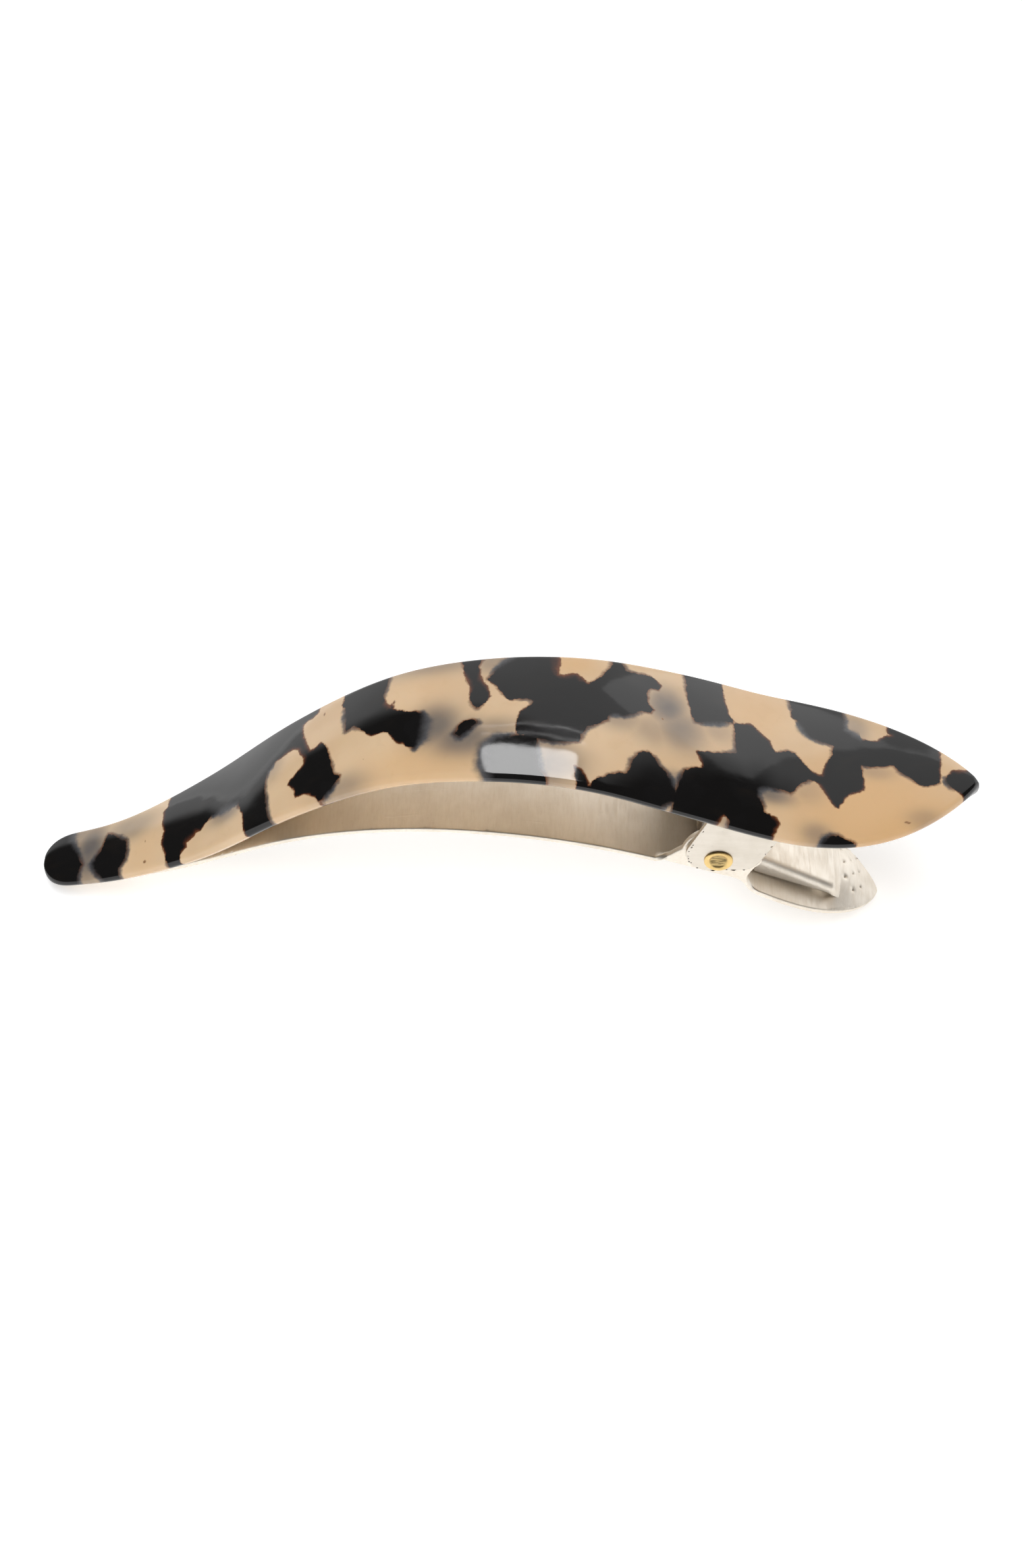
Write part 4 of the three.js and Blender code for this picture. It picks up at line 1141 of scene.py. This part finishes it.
CAMERA_AZIMUTH, CAMERA_ELEVATION = math.radians(1.9), math.radians(50)
CAMERA_DISTANCE, CAMERA_LENS = 0.33333, 60.504
CAMERA_TARGET = Vector((1.47, 0, 20.45)) * MM


def aim(thing, target, back, distance):
    """Puts a camera or lamp at a distance back from its target, and turns it to face that target."""
    thing.location = target + back * distance
    thing.rotation_mode = "QUATERNION"
    thing.rotation_quaternion = (-back).to_track_quat("-Z", "Y")


def make_camera():
    """Looks down on the middle of the clip from in front of it."""
    data = bpy.data.cameras.new("camera")
    data.lens = CAMERA_LENS
    data.clip_start = 0.01
    camera = linked("camera", data)
    level = math.cos(CAMERA_ELEVATION)
    back = Vector((math.sin(CAMERA_AZIMUTH) * level, -math.cos(CAMERA_AZIMUTH) * level,
                   math.sin(CAMERA_ELEVATION)))
    aim(camera, CAMERA_TARGET, back, CAMERA_DISTANCE)
    bpy.context.scene.camera = camera


LAMP_TARGET = Vector((0.004, -0.004, 0.03))
WALL_LEVEL, DIM_LEVEL = 0.92, 0.08
WALL_EDGE, HORIZON_EDGE = 0.22, 0.06


def softbox(name, direction, distance, size, radiance):
    """A rectangular lamp of the given size and brightness, facing the clip."""
    data = bpy.data.lights.new(name, "AREA")
    data.shape = "RECTANGLE"
    data.size, data.size_y = size
    data.energy = radiance * math.pi * size[0] * size[1]
    lamp = linked(name, data)
    aim(lamp, LAMP_TARGET, Vector(direction).normalized(), distance)
    return lamp


def make_world():
    """A white wall behind the clip under a slanting edge, and dim surroundings everywhere else."""
    world = bpy.data.worlds.new("studio")
    bpy.context.scene.world = world
    m = Nodes(world)
    direction = m.node("ShaderNodeSeparateXYZ")
    m.put(direction.inputs[0], m.coordinates["Generated"])
    x, y, z = direction.outputs
    above_wall = m.minus(m.minus(z, m.times(y, 1.2)), x)
    past_wall = m.math("MINIMUM", m.minus(x, m.times(y, 0.75)), m.minus(z, m.times(y, 0.85)))
    dim = m.span(m.math("MAXIMUM", above_wall, past_wall), 0, WALL_EDGE)
    dim = m.times(dim, m.span(m.minus(z, 0.01), 0, HORIZON_EDGE))
    background = m.tree.nodes["Background"]
    m.put(background.inputs["Strength"], m.minus(WALL_LEVEL, m.times(dim, WALL_LEVEL - DIM_LEVEL)))
    m.put(background.inputs["Color"], (1, 1, 1))


def make_backdrop():
    """A plain white wall all round, there for the camera alone: it lights and reflects nothing."""
    radius, low, high, steps = 3.0, -0.01, 2.0, 48
    ring = circle((0, 0), radius, steps)
    points = [(x, y, z) for z in (low, high) for x, y in ring]
    backdrop = plain_mesh("backdrop", points, ring_faces(2, steps))
    m = Shader("backdrop_white")
    m.coat(Base_Color=(0, 0, 0), Specular_IOR_Level=0, Emission_Color=(1, 1, 1), Emission_Strength=1)
    backdrop.data.materials.append(m.material)
    backdrop.visible_diffuse = False
    backdrop.visible_glossy = False
    backdrop.visible_transmission = False
    backdrop.visible_shadow = False


def make_floor():
    half = 3.2
    corners = [(-half, -half, 0), (half, -half, 0), (half, half, 0), (-half, half, 0)]
    floor = plain_mesh("floor", corners, [(0, 1, 2, 3)])
    floor.data.materials.append(floor_material())


# ---- assembly

make_camera()
make_world()
make_floor()
make_backdrop()

# The first four are seen as reflections only, and the two fills light matt surfaces only.
for shine in (softbox("overhead_softbox", (0.0, 0.165, 0.986), 0.7, (0.318, 0.46), 10.3),
              softbox("lower_strip", (0.02, 0.585, 0.811), 0.7, (0.34, 0.004), 6),
              softbox("upper_strip", (0.02, 0.533, 0.846), 0.7, (0.34, 0.004), 6),
              softbox("side_panel", (0.68, 0.60, 0.34), 0.7, (0.65, 0.42), 0.6)):
    shine.visible_diffuse = False
for fill in (softbox("matte_fill", (-0.1, -0.25, 0.96), 0.9, (0.9, 0.9), 2.95),
             softbox("front_fill", (0.1, -0.85, 0.5), 0.9, (0.9, 0.5), 0.6)):
    fill.visible_glossy = False

nickel = metal_shader("satin_nickel", (.70, .65, .575), (.6, .55, .47), roughness=0.34,
                       grain=0.5)[0].material
jaw_nickel = metal_shader("satin_nickel_jaw", (.88, .82, .73), (.76, .69, .59), roughness=0.5,
                          grain=0.6, brushing=(1, 0.15, 1), spots=0.12)[0].material
spring_steel = metal_shader("spring_steel", (.40, .37, .34), (.25, .21, .18), roughness=0.36,
                             grain=0.8)[0].material

pieces = [
    (make_cover(), acetate_material(), "cover", "cover", "cover_acetate"),
    (make_seat(), seat_material(), "cover", "cover", "cover_acetate"),
    (make_jaw(), jaw_nickel, "jaw", "lower_jaw", "nickel_plate"),
    (make_pocket(), jaw_nickel, "jaw", "lower_jaw", "nickel_plate"),
    (make_bracket(), nickel, "cover", "hinge_bracket", "nickel_plate"),
    (make_rivet(), brass_material(), "cover", "hinge_pin", "rivet_brass"),
    (make_screw("near_screw", -SCREW_Y), nickel, "cover", "bracket_screw_near", "nickel_plate"),
    (make_screw("far_screw", SCREW_Y), nickel, "cover", "bracket_screw_far", "nickel_plate"),
]
for piece, material, body, node, slot in pieces:
    piece.data.materials.append(material)
    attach(piece, body)
    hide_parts(node)

spring = make_spring()
spring.data.materials.append(spring_steel)
blend_from, blend_to = ((in_hinge(0, 0, n) + [SHIFT_X, 0, 0]) * MM for n in (BLEND_REACH, -BLEND_REACH))
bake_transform(spring)
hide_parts("leaf_spring")

bpy.context.scene.view_settings.view_transform = "Standard"
